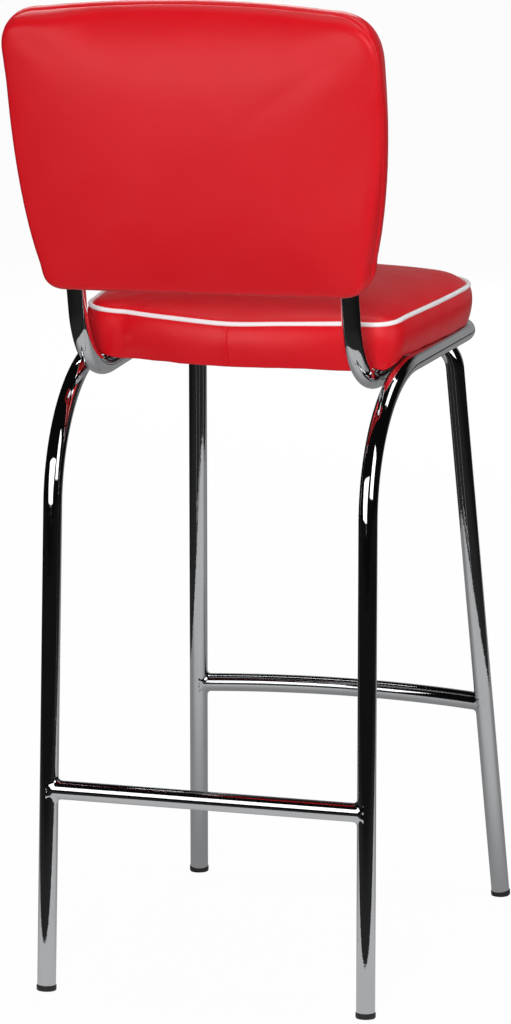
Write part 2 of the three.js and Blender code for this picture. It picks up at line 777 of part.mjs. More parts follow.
addFrame();
addUprights();
addFootCaps();
addSeatBase();
addSeatCushion();
addBackPad();

backPad.applyMatrix4(backFrame);
stool.updateMatrixWorld(true);
const bounds = new THREE.Box3().setFromObject(stool, true);
const middle = bounds.getCenter(new THREE.Vector3());
pieces.position.set(-middle.x, -middle.y, -bounds.min.z);
stool.updateMatrixWorld(true);

export default stool;
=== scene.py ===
"""A bar-height diner stool: bent chromed tube, a piped red vinyl seat and a padded back."""
import math

import bpy
import numpy as np
from mathutils import Matrix, Vector, geometry, noise
from mathutils.bvhtree import BVHTree
from mathutils.interpolate import poly_3d_calc


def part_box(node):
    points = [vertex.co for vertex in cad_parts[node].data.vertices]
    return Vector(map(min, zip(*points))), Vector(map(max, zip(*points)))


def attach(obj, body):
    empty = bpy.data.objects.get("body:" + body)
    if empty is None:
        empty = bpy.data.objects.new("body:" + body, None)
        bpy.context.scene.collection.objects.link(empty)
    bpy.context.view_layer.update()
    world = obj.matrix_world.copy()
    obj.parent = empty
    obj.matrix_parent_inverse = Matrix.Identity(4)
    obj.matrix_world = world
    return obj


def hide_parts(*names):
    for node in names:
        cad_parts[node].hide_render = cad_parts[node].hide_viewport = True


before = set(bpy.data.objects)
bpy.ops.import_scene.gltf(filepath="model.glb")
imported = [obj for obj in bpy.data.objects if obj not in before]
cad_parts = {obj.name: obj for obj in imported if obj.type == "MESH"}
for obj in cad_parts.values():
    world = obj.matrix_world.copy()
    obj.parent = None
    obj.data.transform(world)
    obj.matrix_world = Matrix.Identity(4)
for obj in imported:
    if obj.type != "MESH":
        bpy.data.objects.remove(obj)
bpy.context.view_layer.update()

MM = 0.001
BOTH_HANDS = (("left", 1), ("right", -1))

# Frame, in millimetres from a floor point midway between the rear feet. Reach runs forward.
TUBE_RADIUS = 11
TUBE_SIDES = 48
BEND_STEP = math.radians(3)
REAR_FOOT_X = 195
REAR_RAIL_X = 189
FRONT_RAIL_X = 196
RAIL_HEIGHT = 728.5
KNEE_REACH = 42
KNEE_RADIUS = 165
FRONT_BAR_REACH = 464
RING_CORNER_RADIUS = 68
FRONT_FOOT_X = 196
FRONT_FOOT_REACH = 549
FRONT_LEG_TOP_X = 161
FRONT_CORNER_RADIUS = 36
CROSSBAR_HEIGHT = 706.2
STRETCHER_HEIGHT = 238.5
FOOTREST_HEIGHT = 249.5
FOOTREST_BOW = 28
BOW_STEPS = 20

# Weld fillets
WELD_LEG = 5.5
WELD_LIFT = 0.5
WELD_LUMP = 0.22
WELD_LUMP_DENSITY = 2.2
WELD_SIDES = 64
WELD_STEPS = 8

# Uprights
UPRIGHT_X = 164.4
UPRIGHT_CORNER_REACH = 72
UPRIGHT_CORNER_HEIGHT = 714
UPRIGHT_BEND_RADIUS = 98
UPRIGHT_INSERT = 250
RECLINE = math.radians(11)

# Foot caps and screws
CAP_RADIUS = 11.75
CAP_HEIGHT = 7
SCREW_SIDES = 36

# Seat cushion
SEAT_COLUMNS = 560
SEAT_REAR_REACH = 99
SEAT_DEPTH = 362
SEAT_REAR_X = 190
SEAT_FRONT_X = 202
SEAT_REAR_BOW = 27
SEAT_FRONT_BOW = 6
SEAT_REAR_CORNER = 44
SEAT_REAR_CORNER_LEFT = 56
SEAT_FRONT_CORNER = 80
SEAT_BOTTOM = 739.8
SEAT_SIDE_HEIGHT = 45
SEAT_BULGE = 5
SEAT_SHOULDER = 8
SEAT_FRONT_FULLER = 7
SEAT_CROWN = 11
SEAT_RIM_FADE = 60
SEAT_SIDE_RISE_LEFT = 2.8
SEAT_SIDE_RISE_RIGHT = 0.5
SEAT_REAR_DIP = 1.6
SEAT_SEAM_X = -2
SEAT_SEAM_DIP = 2.1
SEAT_SEAM_DIP_SPREAD = 45
SEAT_CORNER_DIP = 1.9
SEAT_CORNER_DIP_SPREAD = 35
SEAT_CORNER_DIP_PLACE = (-180, -135)
SEAT_HEM = 24
SEAT_HEM_TURN = 2.6
SEAT_TURN_HEIGHT = 3
SEAT_TURN_STEPS = 6
SEAT_BAND_STEPS = 22
DUST_COVER_OVERLAP = 2
SEAM_GROOVE = 1.1
PIPING_RADIUS = 2.8
PIPING_SIDES = 20

# How the seat's band hangs at the rear: lower beside the uprights and held up over them
SEAT_REAR_SAG = 8.8
SAG_BESIDE_UPRIGHT = 2.4
SAG_GROWS_FROM_X = 80
SAG_GROWS_OVER = 60
LIFT_OVER_UPRIGHT = 3.4
LIFT_SPREAD = 13
INBOARD_X = 176
INBOARD_EASE = 8
INBOARD_ROOM = 30
RAIL_CLEARANCE = 0.7
RAIL_TOP = TUBE_RADIUS * 1.06

# Back pad, measured in its own plane
BACK_COLUMNS = 600
BACK_RISE = 99.5
BACK_LENGTH = 337.5
BACK_SHIFT_X = 3
BACK_TOP_X_LEFT = 221
BACK_TOP_X_RIGHT = 220
BACK_TOP_FLARE_LEFT = 2.2
BACK_BOTTOM_X_LEFT = 198
BACK_BOTTOM_X_RIGHT = 195.5
BACK_BOTTOM_DROP_LEFT = 4
BACK_BOTTOM_DROP_RIGHT = -1.5
BACK_TOP_TILT = 5.2
BACK_TOP_BOW = 10
BACK_TOP_CORNER_LEFT = 41
BACK_TOP_CORNER_RIGHT = 60
BACK_BOTTOM_CORNER_LEFT = 26
BACK_BOTTOM_CORNER_RIGHT = 38
BACK_WIDEST_RISE = 246
BACK_FLARE_SHARE_LEFT = 0.36
BACK_FLARE_SHARE_RIGHT = 0.45
BACK_REAR_SEAM = -9
BACK_REAR_SEAM_TOP = 7
BACK_REAR_SEAM_SIDE = -3
BACK_REAR_SEAM_LOW = 6
BACK_REAR_FLAT = -15.5
BACK_REAR_THINNER = 7.5
BACK_REAR_CROWN = 7.5
BACK_REAR_ROLL = 3.6
BACK_FRONT_SEAM = 22
BACK_FRONT_SHOULDER = 7
BACK_FRONT_ROLL = 6.5
BACK_FRONT_CROWN = 5.5
BACK_BULGE = 2
BACK_SEAM_IN = -1.6
BACK_BAND_STEPS = 26
BACK_BOARD_REAR = 11.3
BACK_BOARD_THICKNESS = 7
BACK_BOARD_INSET = 5
BACK_BOARD_CHAMFER = 0.6

# Covers
CURVE_POINTS = 200
DENSE_POINTS = 2400
EASING = 20
SEAM_CLEARANCE = 3.6
SEAM_COLUMNS = np.array([-3, -2, -1.4, -1, -0.6, -0.3, 0, 0.3, 0.6, 1, 1.4, 2, 3])
CROWN_POWER = 2.2
CROWN_SHARES = [
    0.015, 0.035, 0.06, 0.09, 0.125, 0.165, 0.21, 0.26,
    0.32, 0.39, 0.47, 0.56, 0.66, 0.76, 0.86, 0.94,
]
HELD_RING = 6
CLOTH_SPACING = 8
CLOTH_FRAMES = 20
FOAM_PRESSURE = 3
SETTLE_CAP = 5

# The rear seat screw's place in the frame gives the stool's place fore and aft
screw_low, screw_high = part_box("seat_screw_rear_left")
SCREW_REACH = 200
REAR_Y = (screw_low.y + screw_high.y) / 2 + SCREW_REACH * MM


def spot(x, reach, height):
    """A place on the stool, in metres in the frame's own axes."""
    return Vector((x * MM, REAR_Y - reach * MM, height * MM))


# Tubes and turned pieces

def turns(count):
    """Angles spaced evenly round a full turn."""
    return [math.tau * step / count for step in range(count)]


def bent_line(corners, radii):
    """Points along a bent tube: straights between corners, each corner rounded by its radius."""
    points = [corners[0]]
    for before, corner, after, radius in zip(corners, corners[1:], corners[2:], radii):
        inward = (corner - before).normalized()
        outward = (after - corner).normalized()
        turn = inward.angle(outward)
        axis = inward.cross(outward).normalized()
        start = corner - inward * radius * MM * math.tan(turn / 2)
        centre = start + axis.cross(inward) * radius * MM
        steps = max(2, round(turn / BEND_STEP))
        for step in range(steps + 1):
            spin = Matrix.Rotation(turn * step / steps, 3, axis)
            points.append(centre + spin @ (start - centre))
    points.append(corners[-1])
    return points


def mesh_piece(name, vertices, faces, sharp_degrees=35):
    mesh = bpy.data.meshes.new(name)
    mesh.from_pydata([tuple(v) for v in vertices], [], faces)
    mesh.validate()
    for face in mesh.polygons:
        face.use_smooth = True
    mesh.set_sharp_from_angle(angle=math.radians(sharp_degrees))
    piece = bpy.data.objects.new(name, mesh)
    bpy.context.scene.collection.objects.link(piece)
    return piece


def ring_faces(ring_count, sides, wraps=False):
    """Quads between neighbouring rings of equal point counts."""
    faces = []
    for row in range(ring_count if wraps else ring_count - 1):
        low = row * sides
        high = (row + 1) % ring_count * sides
        for side in range(sides):
            after = (side + 1) % sides
            faces.append((low + side, low + after, high + after, high + side))
    return faces


def end_faces(ring_count, sides):
    """The flat faces that close the first ring and the last."""
    last = (ring_count - 1) * sides
    return [tuple(reversed(range(sides))), tuple(range(last, last + sides))]


def tube_rings(points):
    """Rings round a centreline, carried along it without twist."""
    headings = []
    for index in range(len(points)):
        before, after = points[max(index - 1, 0)], points[min(index + 1, len(points) - 1)]
        headings.append((after - before).normalized())
    side = headings[0].orthogonal().normalized()
    rings = []
    for point, heading in zip(points, headings):
        side = (side - heading * side.dot(heading)).normalized()
        other = heading.cross(side)
        for angle in turns(TUBE_SIDES):
            spoke = side * math.cos(angle) + other * math.sin(angle)
            rings.append(point + spoke * (TUBE_RADIUS * MM))
    return rings


def tube_piece(name, points):
    faces = ring_faces(len(points), TUBE_SIDES) + end_faces(len(points), TUBE_SIDES)
    return mesh_piece(name, tube_rings(points), faces)


def turned_piece(name, profile, place, heading, sides=TUBE_SIDES):
    """A turned piece from pairs of radius and height in millimetres, set along a heading."""
    turn = Vector((0, 0, 1)).rotation_difference(heading).to_matrix()
    vertices = []
    for radius, height in profile:
        for angle in turns(sides):
            local = Vector((radius * math.cos(angle), radius * math.sin(angle), height)) * MM
            vertices.append(place + turn @ local)
    faces = ring_faces(len(profile), sides) + end_faces(len(profile), sides)
    return mesh_piece(name, vertices, faces)


def leg(end, side):
    """A leg's foot and knee. The side is 1 on the sitter's left and -1 on the right."""
    if end == "rear":
        return spot(side * REAR_FOOT_X, 0, 0), spot(side * REAR_RAIL_X, KNEE_REACH, RAIL_HEIGHT)
    foot = spot(side * FRONT_FOOT_X, FRONT_FOOT_REACH, 0)
    return foot, spot(side * FRONT_LEG_TOP_X, FRONT_BAR_REACH, CROSSBAR_HEIGHT)


def up_leg(foot, knee, height):
    """The place on a straight leg's centreline at a height."""
    return foot + (knee - foot) * (height * MM / knee.z)


def leg_end(foot, knee):
    """Where a leg's tube starts, inside its cap."""
    return foot + (knee - foot).normalized() * (CAP_HEIGHT - 1) * MM


def weld_fillet(joint, outward, leg_heading):
    """Vertices and faces of a concave flare from a cross tube onto a leg of the same size."""
    radius = TUBE_RADIUS * MM
    across = outward.cross(leg_heading).normalized()
    upright = across.cross(outward).normalized()
    run = outward - leg_heading * outward.dot(leg_heading)

    def reach_at(radial, size, distance):
        spoke = radial * size
        spoke -= leg_heading * spoke.dot(leg_heading)
        middle = spoke.dot(run) / run.length_squared
        spread = middle ** 2 - (spoke.length_squared - distance ** 2) / run.length_squared
        return -middle + math.sqrt(max(spread, 0))

    vertices = []
    for angle in turns(WELD_SIDES):
        radial = upright * math.cos(angle) + across * math.sin(angle)
        steepness = abs(math.cos(angle))
        root = reach_at(radial, radius, radius)
        wide = radius + (WELD_LIFT + (WELD_LEG - WELD_LIFT) * steepness) * MM
        on_tube = joint + radial * radius + outward * (root + WELD_LEG * MM)
        corner = joint + radial * radius + outward * root
        on_leg = joint + radial * wide + outward * reach_at(radial, wide, radius)
        round_tube = Vector((math.cos(angle), math.sin(angle), 3)) * WELD_LUMP_DENSITY
        lumps = WELD_LUMP * MM * noise.noise(round_tube)
        for step in range(WELD_STEPS + 1):
            t = step / WELD_STEPS
            place = on_tube * (1 - t) ** 2 + corner * 2 * t * (1 - t) + on_leg * t ** 2
            place += (radial + outward).normalized() * lumps * 4 * t * (1 - t)
            vertices.append(place)
        vertices.append(joint + radial * (radius - MM))
        vertices.append(on_tube - radial * MM)
    rows = WELD_STEPS + 3
    faces = []
    for side in range(WELD_SIDES):
        low, high = side * rows, ((side + 1) % WELD_SIDES) * rows
        for row in range(rows):
            after = (row + 1) % rows
            faces.append((low + row, high + row, high + after, low + after))
    return vertices, faces


def cross_tube(name, points, legs):
    """A tube between two legs with a weld fillet at each end."""
    vertices = tube_rings(points)
    faces = ring_faces(len(points), TUBE_SIDES)
    tube_faces = len(faces)
    ends = [(points[0], points[1]), (points[-1], points[-2])]
    for (joint, inward), (foot, knee) in zip(ends, legs):
        first = len(vertices)
        outward, heading = (inward - joint).normalized(), (knee - foot).normalized()
        fillet, fillet_faces = weld_fillet(joint, outward, heading)
        vertices += fillet
        faces += [tuple(first + corner for corner in face) for face in fillet_faces]
    piece = mesh_piece(name, vertices, faces, 60)
    for face in piece.data.polygons[tube_faces:]:
        face.material_index = 1
    return piece


def footrest_line(left):
    """The footrest's centreline from its left end, an arc that bows forward."""
    bow, half = FOOTREST_BOW * MM, left.x
    radius = (half ** 2 + bow ** 2) / (2 * bow)
    half_turn = math.asin(half / radius)
    points = []
    for step in range(2 * BOW_STEPS + 1):
        angle = half_turn * (1 - step / BOW_STEPS)
        sideways = radius * math.sin(angle)
        forward = radius * math.cos(angle) - radius * math.cos(half_turn)
        points.append(Vector((sideways, left.y - forward, left.z)))
    return points


def build_frame():
    rear, front = [[leg(end, side) for side in (1, -1)] for end in ("rear", "front")]
    corners = [spot(side * FRONT_RAIL_X, FRONT_BAR_REACH, RAIL_HEIGHT) for side in (1, -1)]
    main = bent_line(
        [leg_end(*rear[0]), rear[0][1], *corners, rear[1][1], leg_end(*rear[1])],
        [KNEE_RADIUS, RING_CORNER_RADIUS, RING_CORNER_RADIUS, KNEE_RADIUS],
    )
    front_line = bent_line(
        [leg_end(*front[0]), front[0][1], front[1][1], leg_end(*front[1])],
        [FRONT_CORNER_RADIUS, FRONT_CORNER_RADIUS],
    )
    stretcher = [up_leg(*rear_leg, STRETCHER_HEIGHT) for rear_leg in rear]
    footrest = footrest_line(up_leg(*front[0], FOOTREST_HEIGHT))
    pieces = {
        "main_frame_tube": tube_piece("main_frame", main),
        "front_leg_tube": tube_piece("front_legs", front_line),
        "rear_stretcher": cross_tube("rear_cross_tube", stretcher, rear),
        "front_footrest": cross_tube("curved_footrest", footrest, front),
    }
    for node_name, piece in pieces.items():
        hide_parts(node_name)
    return pieces.values()


def reach_of_upright(height):
    """How far forward an upright's centreline lies at a height above its bend."""
    return UPRIGHT_CORNER_REACH - (height - UPRIGHT_CORNER_HEIGHT) * math.tan(RECLINE)


BACK_HEIGHT = RAIL_HEIGHT + BACK_RISE
BACK_PLACE = Matrix.Translation(spot(0, reach_of_upright(BACK_HEIGHT), BACK_HEIGHT))
BACK_FRAME = BACK_PLACE @ Matrix.Rotation(math.pi / 2 - RECLINE, 4, "X")


def build_uprights():
    past_straight = UPRIGHT_X - FRONT_RAIL_X + RING_CORNER_RADIUS
    setback = RING_CORNER_RADIUS - math.sqrt(RING_CORNER_RADIUS ** 2 - past_straight ** 2)
    front_end = FRONT_BAR_REACH - setback - TUBE_RADIUS / 2
    for hand, side in BOTH_HANDS:
        line = bent_line(
            [
                BACK_FRAME @ Vector((side * UPRIGHT_X * MM, UPRIGHT_INSERT * MM, 0)),
                spot(side * UPRIGHT_X, UPRIGHT_CORNER_REACH, UPRIGHT_CORNER_HEIGHT),
                spot(side * UPRIGHT_X, front_end, RAIL_HEIGHT),
            ],
            [UPRIGHT_BEND_RADIUS],
        )
        piece = tube_piece(f"upright_{hand}", line)
        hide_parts(f"back_upright_{hand}")
        yield piece


def build_foot_caps():
    profile = [
        (0.5, -4), (8, -4), (10.2, 0), (11, 0.25), (11.5, 0.9), (CAP_RADIUS, 2),
        (CAP_RADIUS, 5.6), (11.6, 6.5), (11.3, CAP_HEIGHT), (10.4, CAP_HEIGHT - 0.4),
        (0.5, CAP_HEIGHT - 0.6),
    ]
    for hand, side in BOTH_HANDS:
        for end in ("rear", "front"):
            foot, knee = leg(end, side)
            cap = turned_piece(f"cap_{end}_{hand}", profile, foot, (knee - foot).normalized())
            for vertex in cap.data.vertices:
                vertex.co.z = max(vertex.co.z, 0)
            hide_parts(f"foot_cap_{end}_{hand}")
            yield cap


def build_screws():
    for hand, _ in BOTH_HANDS:
        for end in ("rear", "front"):
            low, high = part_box(f"seat_screw_{end}_{hand}")
            place = Vector(((low.x + high.x) / 2, (low.y + high.y) / 2, low.z))
            length = (high.z - low.z) / MM
            profile = [
                (0.2, 2.2), (2.6, 2.2), (2.7, 0), (3.6, 0.15), (4.9, 0.7), (5.8, 1.8),
                (6, 3.1), (5.8, 3.5), (3, 3.5), (3, length), (0.2, length),
            ]
            up = Vector((0, 0, 1))
            screw = turned_piece(f"screw_{end}_{hand}", profile, place, up, SCREW_SIDES)
            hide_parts(f"seat_screw_{end}_{hand}")
            yield screw


# Cushion outlines

class Outline:
    """A closed outline with outward normals, spaced evenly, with more columns at a seam."""

    def __init__(self, start, curves, count, seam_x=None):
        dense = []
        here = np.array(start, float)
        for control, end in curves:
            end = np.array(end, float)
            control = (here + end) / 2 if control is None else np.array(control, float)
            t = np.linspace(0, 1, CURVE_POINTS, endpoint=False)[:, None]
            dense.append(here * (1 - t) ** 2 + control * 2 * t * (1 - t) + end * t ** 2)
            here = end
        dense = self.resample(np.vstack(dense), DENSE_POINTS)
        window = np.hanning(2 * EASING + 1)
        window /= window.sum()
        padded = np.vstack([dense[-EASING:], dense, dense[:EASING]])
        dense = np.stack([np.convolve(padded[:, axis], window, "valid") for axis in (0, 1)], 1)
        total = self.length_of(dense)
        lengths = np.arange(count) * total / count
        if seam_x is not None:
            at_front = dense[:, 1] < dense[:, 1].mean()
            middle = np.argmin(np.abs(dense[:, 0] - seam_x) + 1e3 * at_front) * total / len(dense)
            kept = np.abs(lengths - middle) > SEAM_CLEARANCE
            lengths = np.sort(np.concatenate([lengths[kept], middle + SEAM_COLUMNS]))
            self.from_seam = lengths - middle
        self.arc = lengths
        self.total = total
        self.places = self.resample(dense, at=lengths)
        ahead = self.resample(dense, at=(lengths + 1) % total)
        behind = self.resample(dense, at=(lengths - 1) % total)
        run = ahead - behind
        run /= np.linalg.norm(run, axis=1)[:, None]
        self.normals = np.stack([run[:, 1], -run[:, 0]], 1)
        self.count = len(lengths)

    @staticmethod
    def length_of(points):
        return np.linalg.norm(np.roll(points, -1, 0) - points, axis=1).sum()

    @staticmethod
    def resample(points, count=None, at=None):
        closed = np.vstack([points, points[:1]])
        steps = np.linalg.norm(np.diff(closed, axis=0), axis=1)
        travelled = np.concatenate([[0], np.cumsum(steps)])
        if at is None:
            at = np.arange(count) * travelled[-1] / count
        return np.stack([np.interp(at, travelled, closed[:, axis]) for axis in (0, 1)], 1)

    def nearest_edge(self, x, y):
        """How far places lie inside the outline, and the number of the nearest point on it."""
        edge_x, edge_y = self.places.T
        spans = np.hypot(x[:, None] - edge_x[None], y[:, None] - edge_y[None])
        return spans.min(1), spans.argmin(1)

    def waver(self, wavelength, seed):
        """Smooth noise from about -1 to 1 that runs round the outline and meets itself."""
        size = self.total / wavelength / math.tau
        values = []
        for arc in self.arc:
            angle = math.tau * arc / self.total
            place = Vector((size * math.cos(angle), size * math.sin(angle), seed))
            values.append(noise.noise(place))
        return np.array(values) * 2


def seat_outline():
    rear = -SEAT_REAR_REACH - SEAT_REAR_BOW
    front = -SEAT_REAR_REACH - SEAT_DEPTH + SEAT_FRONT_BOW
    middle = (front + rear) / 2
    rear_x, front_x = SEAT_REAR_X, SEAT_FRONT_X
    return Outline(
        (front_x, front + SEAT_FRONT_CORNER),
        [
            ((front_x, middle), (rear_x, rear - SEAT_REAR_CORNER_LEFT)),
            ((rear_x, rear), (rear_x - SEAT_REAR_CORNER_LEFT, rear)),
            ((0, rear + 2 * SEAT_REAR_BOW), (SEAT_REAR_CORNER - rear_x, rear)),
            ((-rear_x, rear), (-rear_x, rear - SEAT_REAR_CORNER)),
            ((-front_x, middle), (-front_x, front + SEAT_FRONT_CORNER)),
            ((-front_x, front), (SEAT_FRONT_CORNER - front_x, front)),
            ((0, front - 2 * SEAT_FRONT_BOW), (front_x - SEAT_FRONT_CORNER, front)),
            ((front_x, front), (front_x, front + SEAT_FRONT_CORNER)),
        ],
        SEAT_COLUMNS, SEAT_SEAM_X,
    )


def back_outline():
    """The pad's outline as sewn: a little to one side, with no two corners quite alike."""
    left, right = BACK_TOP_X_LEFT, -BACK_TOP_X_RIGHT
    far_left = left + BACK_TOP_FLARE_LEFT
    low_left, low_right = BACK_BOTTOM_X_LEFT, -BACK_BOTTOM_X_RIGHT
    top = BACK_LENGTH - BACK_TOP_BOW
    top_left, top_right = top - BACK_TOP_TILT / 4, top + BACK_TOP_TILT
    end_left, end_right = -BACK_BOTTOM_DROP_LEFT, -BACK_BOTTOM_DROP_RIGHT
    start_left = end_left + BACK_BOTTOM_CORNER_LEFT
    start_right = end_right + BACK_BOTTOM_CORNER_RIGHT
    flare_left = start_left + (BACK_WIDEST_RISE - start_left) * BACK_FLARE_SHARE_LEFT
    flare_right = start_right + (BACK_WIDEST_RISE - start_right) * BACK_FLARE_SHARE_RIGHT
    corners = [
        (None, (low_left, start_left)),
        ((left, flare_left), (left, BACK_WIDEST_RISE)),
        (None, (far_left, top_left - BACK_TOP_CORNER_LEFT)),
        ((far_left, top_left), (left - BACK_TOP_CORNER_LEFT, top_left)),
        ((0, top + 2 * BACK_TOP_BOW + 1), (right + BACK_TOP_CORNER_RIGHT, top_right)),
        ((right, top_right), (right, top_right - BACK_TOP_CORNER_RIGHT)),
        (None, (right, BACK_WIDEST_RISE)),
        ((right, flare_right), (low_right, start_right)),
        ((low_right, end_right), (low_right + BACK_BOTTOM_CORNER_RIGHT, end_right)),
        (None, (low_left - BACK_BOTTOM_CORNER_LEFT, end_left)),
        ((low_left, end_left), (low_left, start_left)),
    ]
    moved = [[point and (point[0] + BACK_SHIFT_X, point[1]) for point in pair] for pair in corners]
    return Outline(moved[0][1], moved[1:], BACK_COLUMNS)


# Covers, as rings of points in millimetres

def ring(outline, outset, height):
    """Points along the outline. The outset and the height may vary along it."""
    outsets = np.reshape(outset * np.ones(outline.count), (-1, 1))
    places = outline.places + outline.normals * outsets
    return np.column_stack([places, height * np.ones(outline.count)])


def face_ring(outline, inset, height_at):
    """A ring set in from the seam, at the face's own height."""
    made = ring(outline, -inset, 0)
    made[:, 2] = height_at(made[:, 0], made[:, 1])
    return made


def crowned(rings, height_at):
    """Adds rings from the last ring to the middle, at the face's height for each place."""
    rim = rings[-1]
    middle = rim.mean(0)
    for share in CROWN_SHARES:
        inner = rim + (middle - rim) * share
        inner[:, 2] = height_at(inner[:, 0], inner[:, 1])
        rings.append(inner)
    top = middle.copy()
    top[2] = height_at(middle[:1], middle[1:2])[0]
    return rings, top


def crown_rise(x, y, half_width, middle_y, half_length, crown):
    """A crown without creases over a panel that is nearly rectangular."""
    across = np.clip(np.abs(x / half_width), 0, 1) ** CROWN_POWER
    along = np.clip(np.abs((y - middle_y) / half_length), 0, 1) ** CROWN_POWER
    return crown * (1 - across) * (1 - along)


def bulge_at(share, bulge):
    return bulge * (1 - (2 * share - 1) ** 2)


def eased(value, start=0, end=1):
    """Goes smoothly from 0 to 1 while the value goes from start to end."""
    share = np.clip((value - start) / (end - start), 0, 1)
    return share * share * (3 - 2 * share)


def cloth_points(rings, top):
    """A sparser set of the cover's points for the cloth, the held seam first."""
    picked = [rings[HELD_RING]]
    for candidate in rings[HELD_RING + 1:]:
        gap = np.linalg.norm((candidate - picked[-1])[:, :2], axis=1).mean()
        if gap > 0.6 * CLOTH_SPACING:
            picked.append(candidate)
    points = []
    for ring_points in picked:
        columns = max(8, int(Outline.length_of(ring_points[:, :2]) / CLOTH_SPACING))
        chosen = np.linspace(0, len(ring_points), columns, endpoint=False).astype(int)
        points.append(ring_points[chosen])
    held = len(points[0])
    return np.vstack(points + [top[None]]), held


def settle_as_cloth(points, held, towards):
    """Runs the panel as cloth under the foam's pressure, held along its seam."""
    plan = [Vector(p[:2]) for p in points]
    _, _, triangles, originals, _, _ = geometry.delaunay_2d_cdt(plan, [], [], 0, 1e-4, True)
    triangles = [[originals[corner][0] for corner in face] for face in triangles]
    if towards < 0:
        triangles = [face[::-1] for face in triangles]
    mesh = bpy.data.meshes.new("cloth_panel")
    mesh.from_pydata([tuple(p) for p in points * MM], [], triangles)
    panel = bpy.data.objects.new("cloth_panel", mesh)
    scene = bpy.context.scene
    scene.collection.objects.link(panel)
    seam = panel.vertex_groups.new(name="seam")
    seam.add(list(range(held)), 1.0, "REPLACE")
    modifier = panel.modifiers.new("cloth", "CLOTH")
    cloth = modifier.settings
    cloth.vertex_group_mass = "seam"
    cloth.quality = 6
    cloth.mass = 0.3
    cloth.tension_stiffness = cloth.compression_stiffness = 40
    cloth.shear_stiffness = 20
    cloth.bending_stiffness = 2
    cloth.use_pressure = True
    cloth.uniform_pressure_force = FOAM_PRESSURE
    cloth.effector_weights.gravity = 0
    modifier.point_cache.frame_start, modifier.point_cache.frame_end = 1, CLOTH_FRAMES
    for moment in range(1, CLOTH_FRAMES + 1):
        scene.frame_set(moment)
    settled = panel.evaluated_get(bpy.context.evaluated_depsgraph_get()).data
    moved = np.array([v.co for v in settled.vertices]) / MM - points
    scene.frame_set(1)
    bpy.data.objects.remove(panel)
    bpy.data.meshes.remove(mesh)
    return moved, triangles


def settled_cover(rings, top, towards):
    """The cover after its cloth has settled, by the cap at most."""
    points, held = cloth_points(rings, top)
    moved, triangles = settle_as_cloth(points, held, towards)
    length = np.linalg.norm(moved, axis=1)[:, None] + 1e-9
    moved *= SETTLE_CAP * np.tanh(length / SETTLE_CAP) / length
    flat = [Vector((x, y, 0)) for x, y, _ in points]
    finder = BVHTree.FromPolygons(flat, triangles)
    shifts = np.zeros((len(rings), len(rings[0]), 3))
    for row in range(HELD_RING + 1, len(rings)):
        for column, (x, y, _) in enumerate(rings[row]):
            spot_on, _, face, _ = finder.find_nearest(Vector((x, y, 0)))
            corners = triangles[face]
            weights = poly_3d_calc([flat[k] for k in corners], spot_on)
            shifts[row, column] = sum(w * moved[k] for w, k in zip(weights, corners))
    for _ in range(3):
        rounded = sum(np.roll(shifts, columns, 1) for columns in (4, -4, 2, -2, 0)) / 5
        rounded[1:-1] = (rounded[:-2] + 2 * rounded[1:-1] + rounded[2:]) / 4
        rounded[:HELD_RING + 1] = 0
        shifts = rounded
    return [r + s for r, s in zip(rings, shifts)], top + moved[-1]


def sewn_piece(name, rings, place, top=None, wraps=False, flip=False):
    """A cover from its rings. Where it has a top point, a fan round it closes the cover."""
    count = len(rings[0])
    points = np.vstack(rings)
    faces = ring_faces(len(rings), count, wraps)
    if top is not None:
        last = len(points)
        first = last - count
        points = np.vstack([points, top])
        faces += [(first + side, first + (side + 1) % count, last) for side in range(count)]
    if flip:
        faces = [tuple(reversed(face)) for face in faces]
    return mesh_piece(name, [place @ Vector(v) for v in points * MM], faces, 180)


# Seat

SEAT_PLACE = Matrix.Translation(spot(0, 0, 0))
SEAT_MIDDLE_Y = -SEAT_REAR_REACH - SEAT_DEPTH / 2
PIPING_HEIGHT = SEAT_BOTTOM + SEAT_SIDE_HEIGHT


def piping_lift(outline):
    """How far the piping rises along the sides and dips at the rear, at its seam and a corner."""
    x, y = outline.places.T
    normal_x, normal_y = outline.normals.T
    from_middle = y - SEAT_MIDDLE_Y
    side_rise = np.where(x > 0, SEAT_SIDE_RISE_LEFT, SEAT_SIDE_RISE_RIGHT)
    over_side = np.maximum(1 - (from_middle / (SEAT_DEPTH / 2)) ** 2, 0)
    rise = side_rise * np.abs(normal_x) * over_side
    dip = SEAT_REAR_DIP * np.maximum(1 - (x / SEAT_REAR_X) ** 2, 0)
    dip = dip + SEAT_SEAM_DIP * np.exp(-((x - SEAT_SEAM_X) / SEAT_SEAM_DIP_SPREAD) ** 2)
    dip = np.maximum(normal_y, 0) * dip
    corner_x, corner_y = SEAT_CORNER_DIP_PLACE
    from_corner = (x - corner_x) ** 2 + (y - corner_y) ** 2
    dip = dip + SEAT_CORNER_DIP * np.exp(-from_corner / SEAT_CORNER_DIP_SPREAD ** 2)
    return rise - dip


def knee_top(reach):
    """The height of the rail's upper side, which falls away where the tube bends into a leg."""
    lean = math.atan(KNEE_REACH / RAIL_HEIGHT)
    bend_start = KNEE_REACH + KNEE_RADIUS * math.tan((math.pi / 2 - lean) / 2)
    inside = np.clip(bend_start - reach, 0, KNEE_RADIUS - 1)
    fall = KNEE_RADIUS - np.sqrt(KNEE_RADIUS ** 2 - inside ** 2)
    return RAIL_HEIGHT - fall + RAIL_TOP


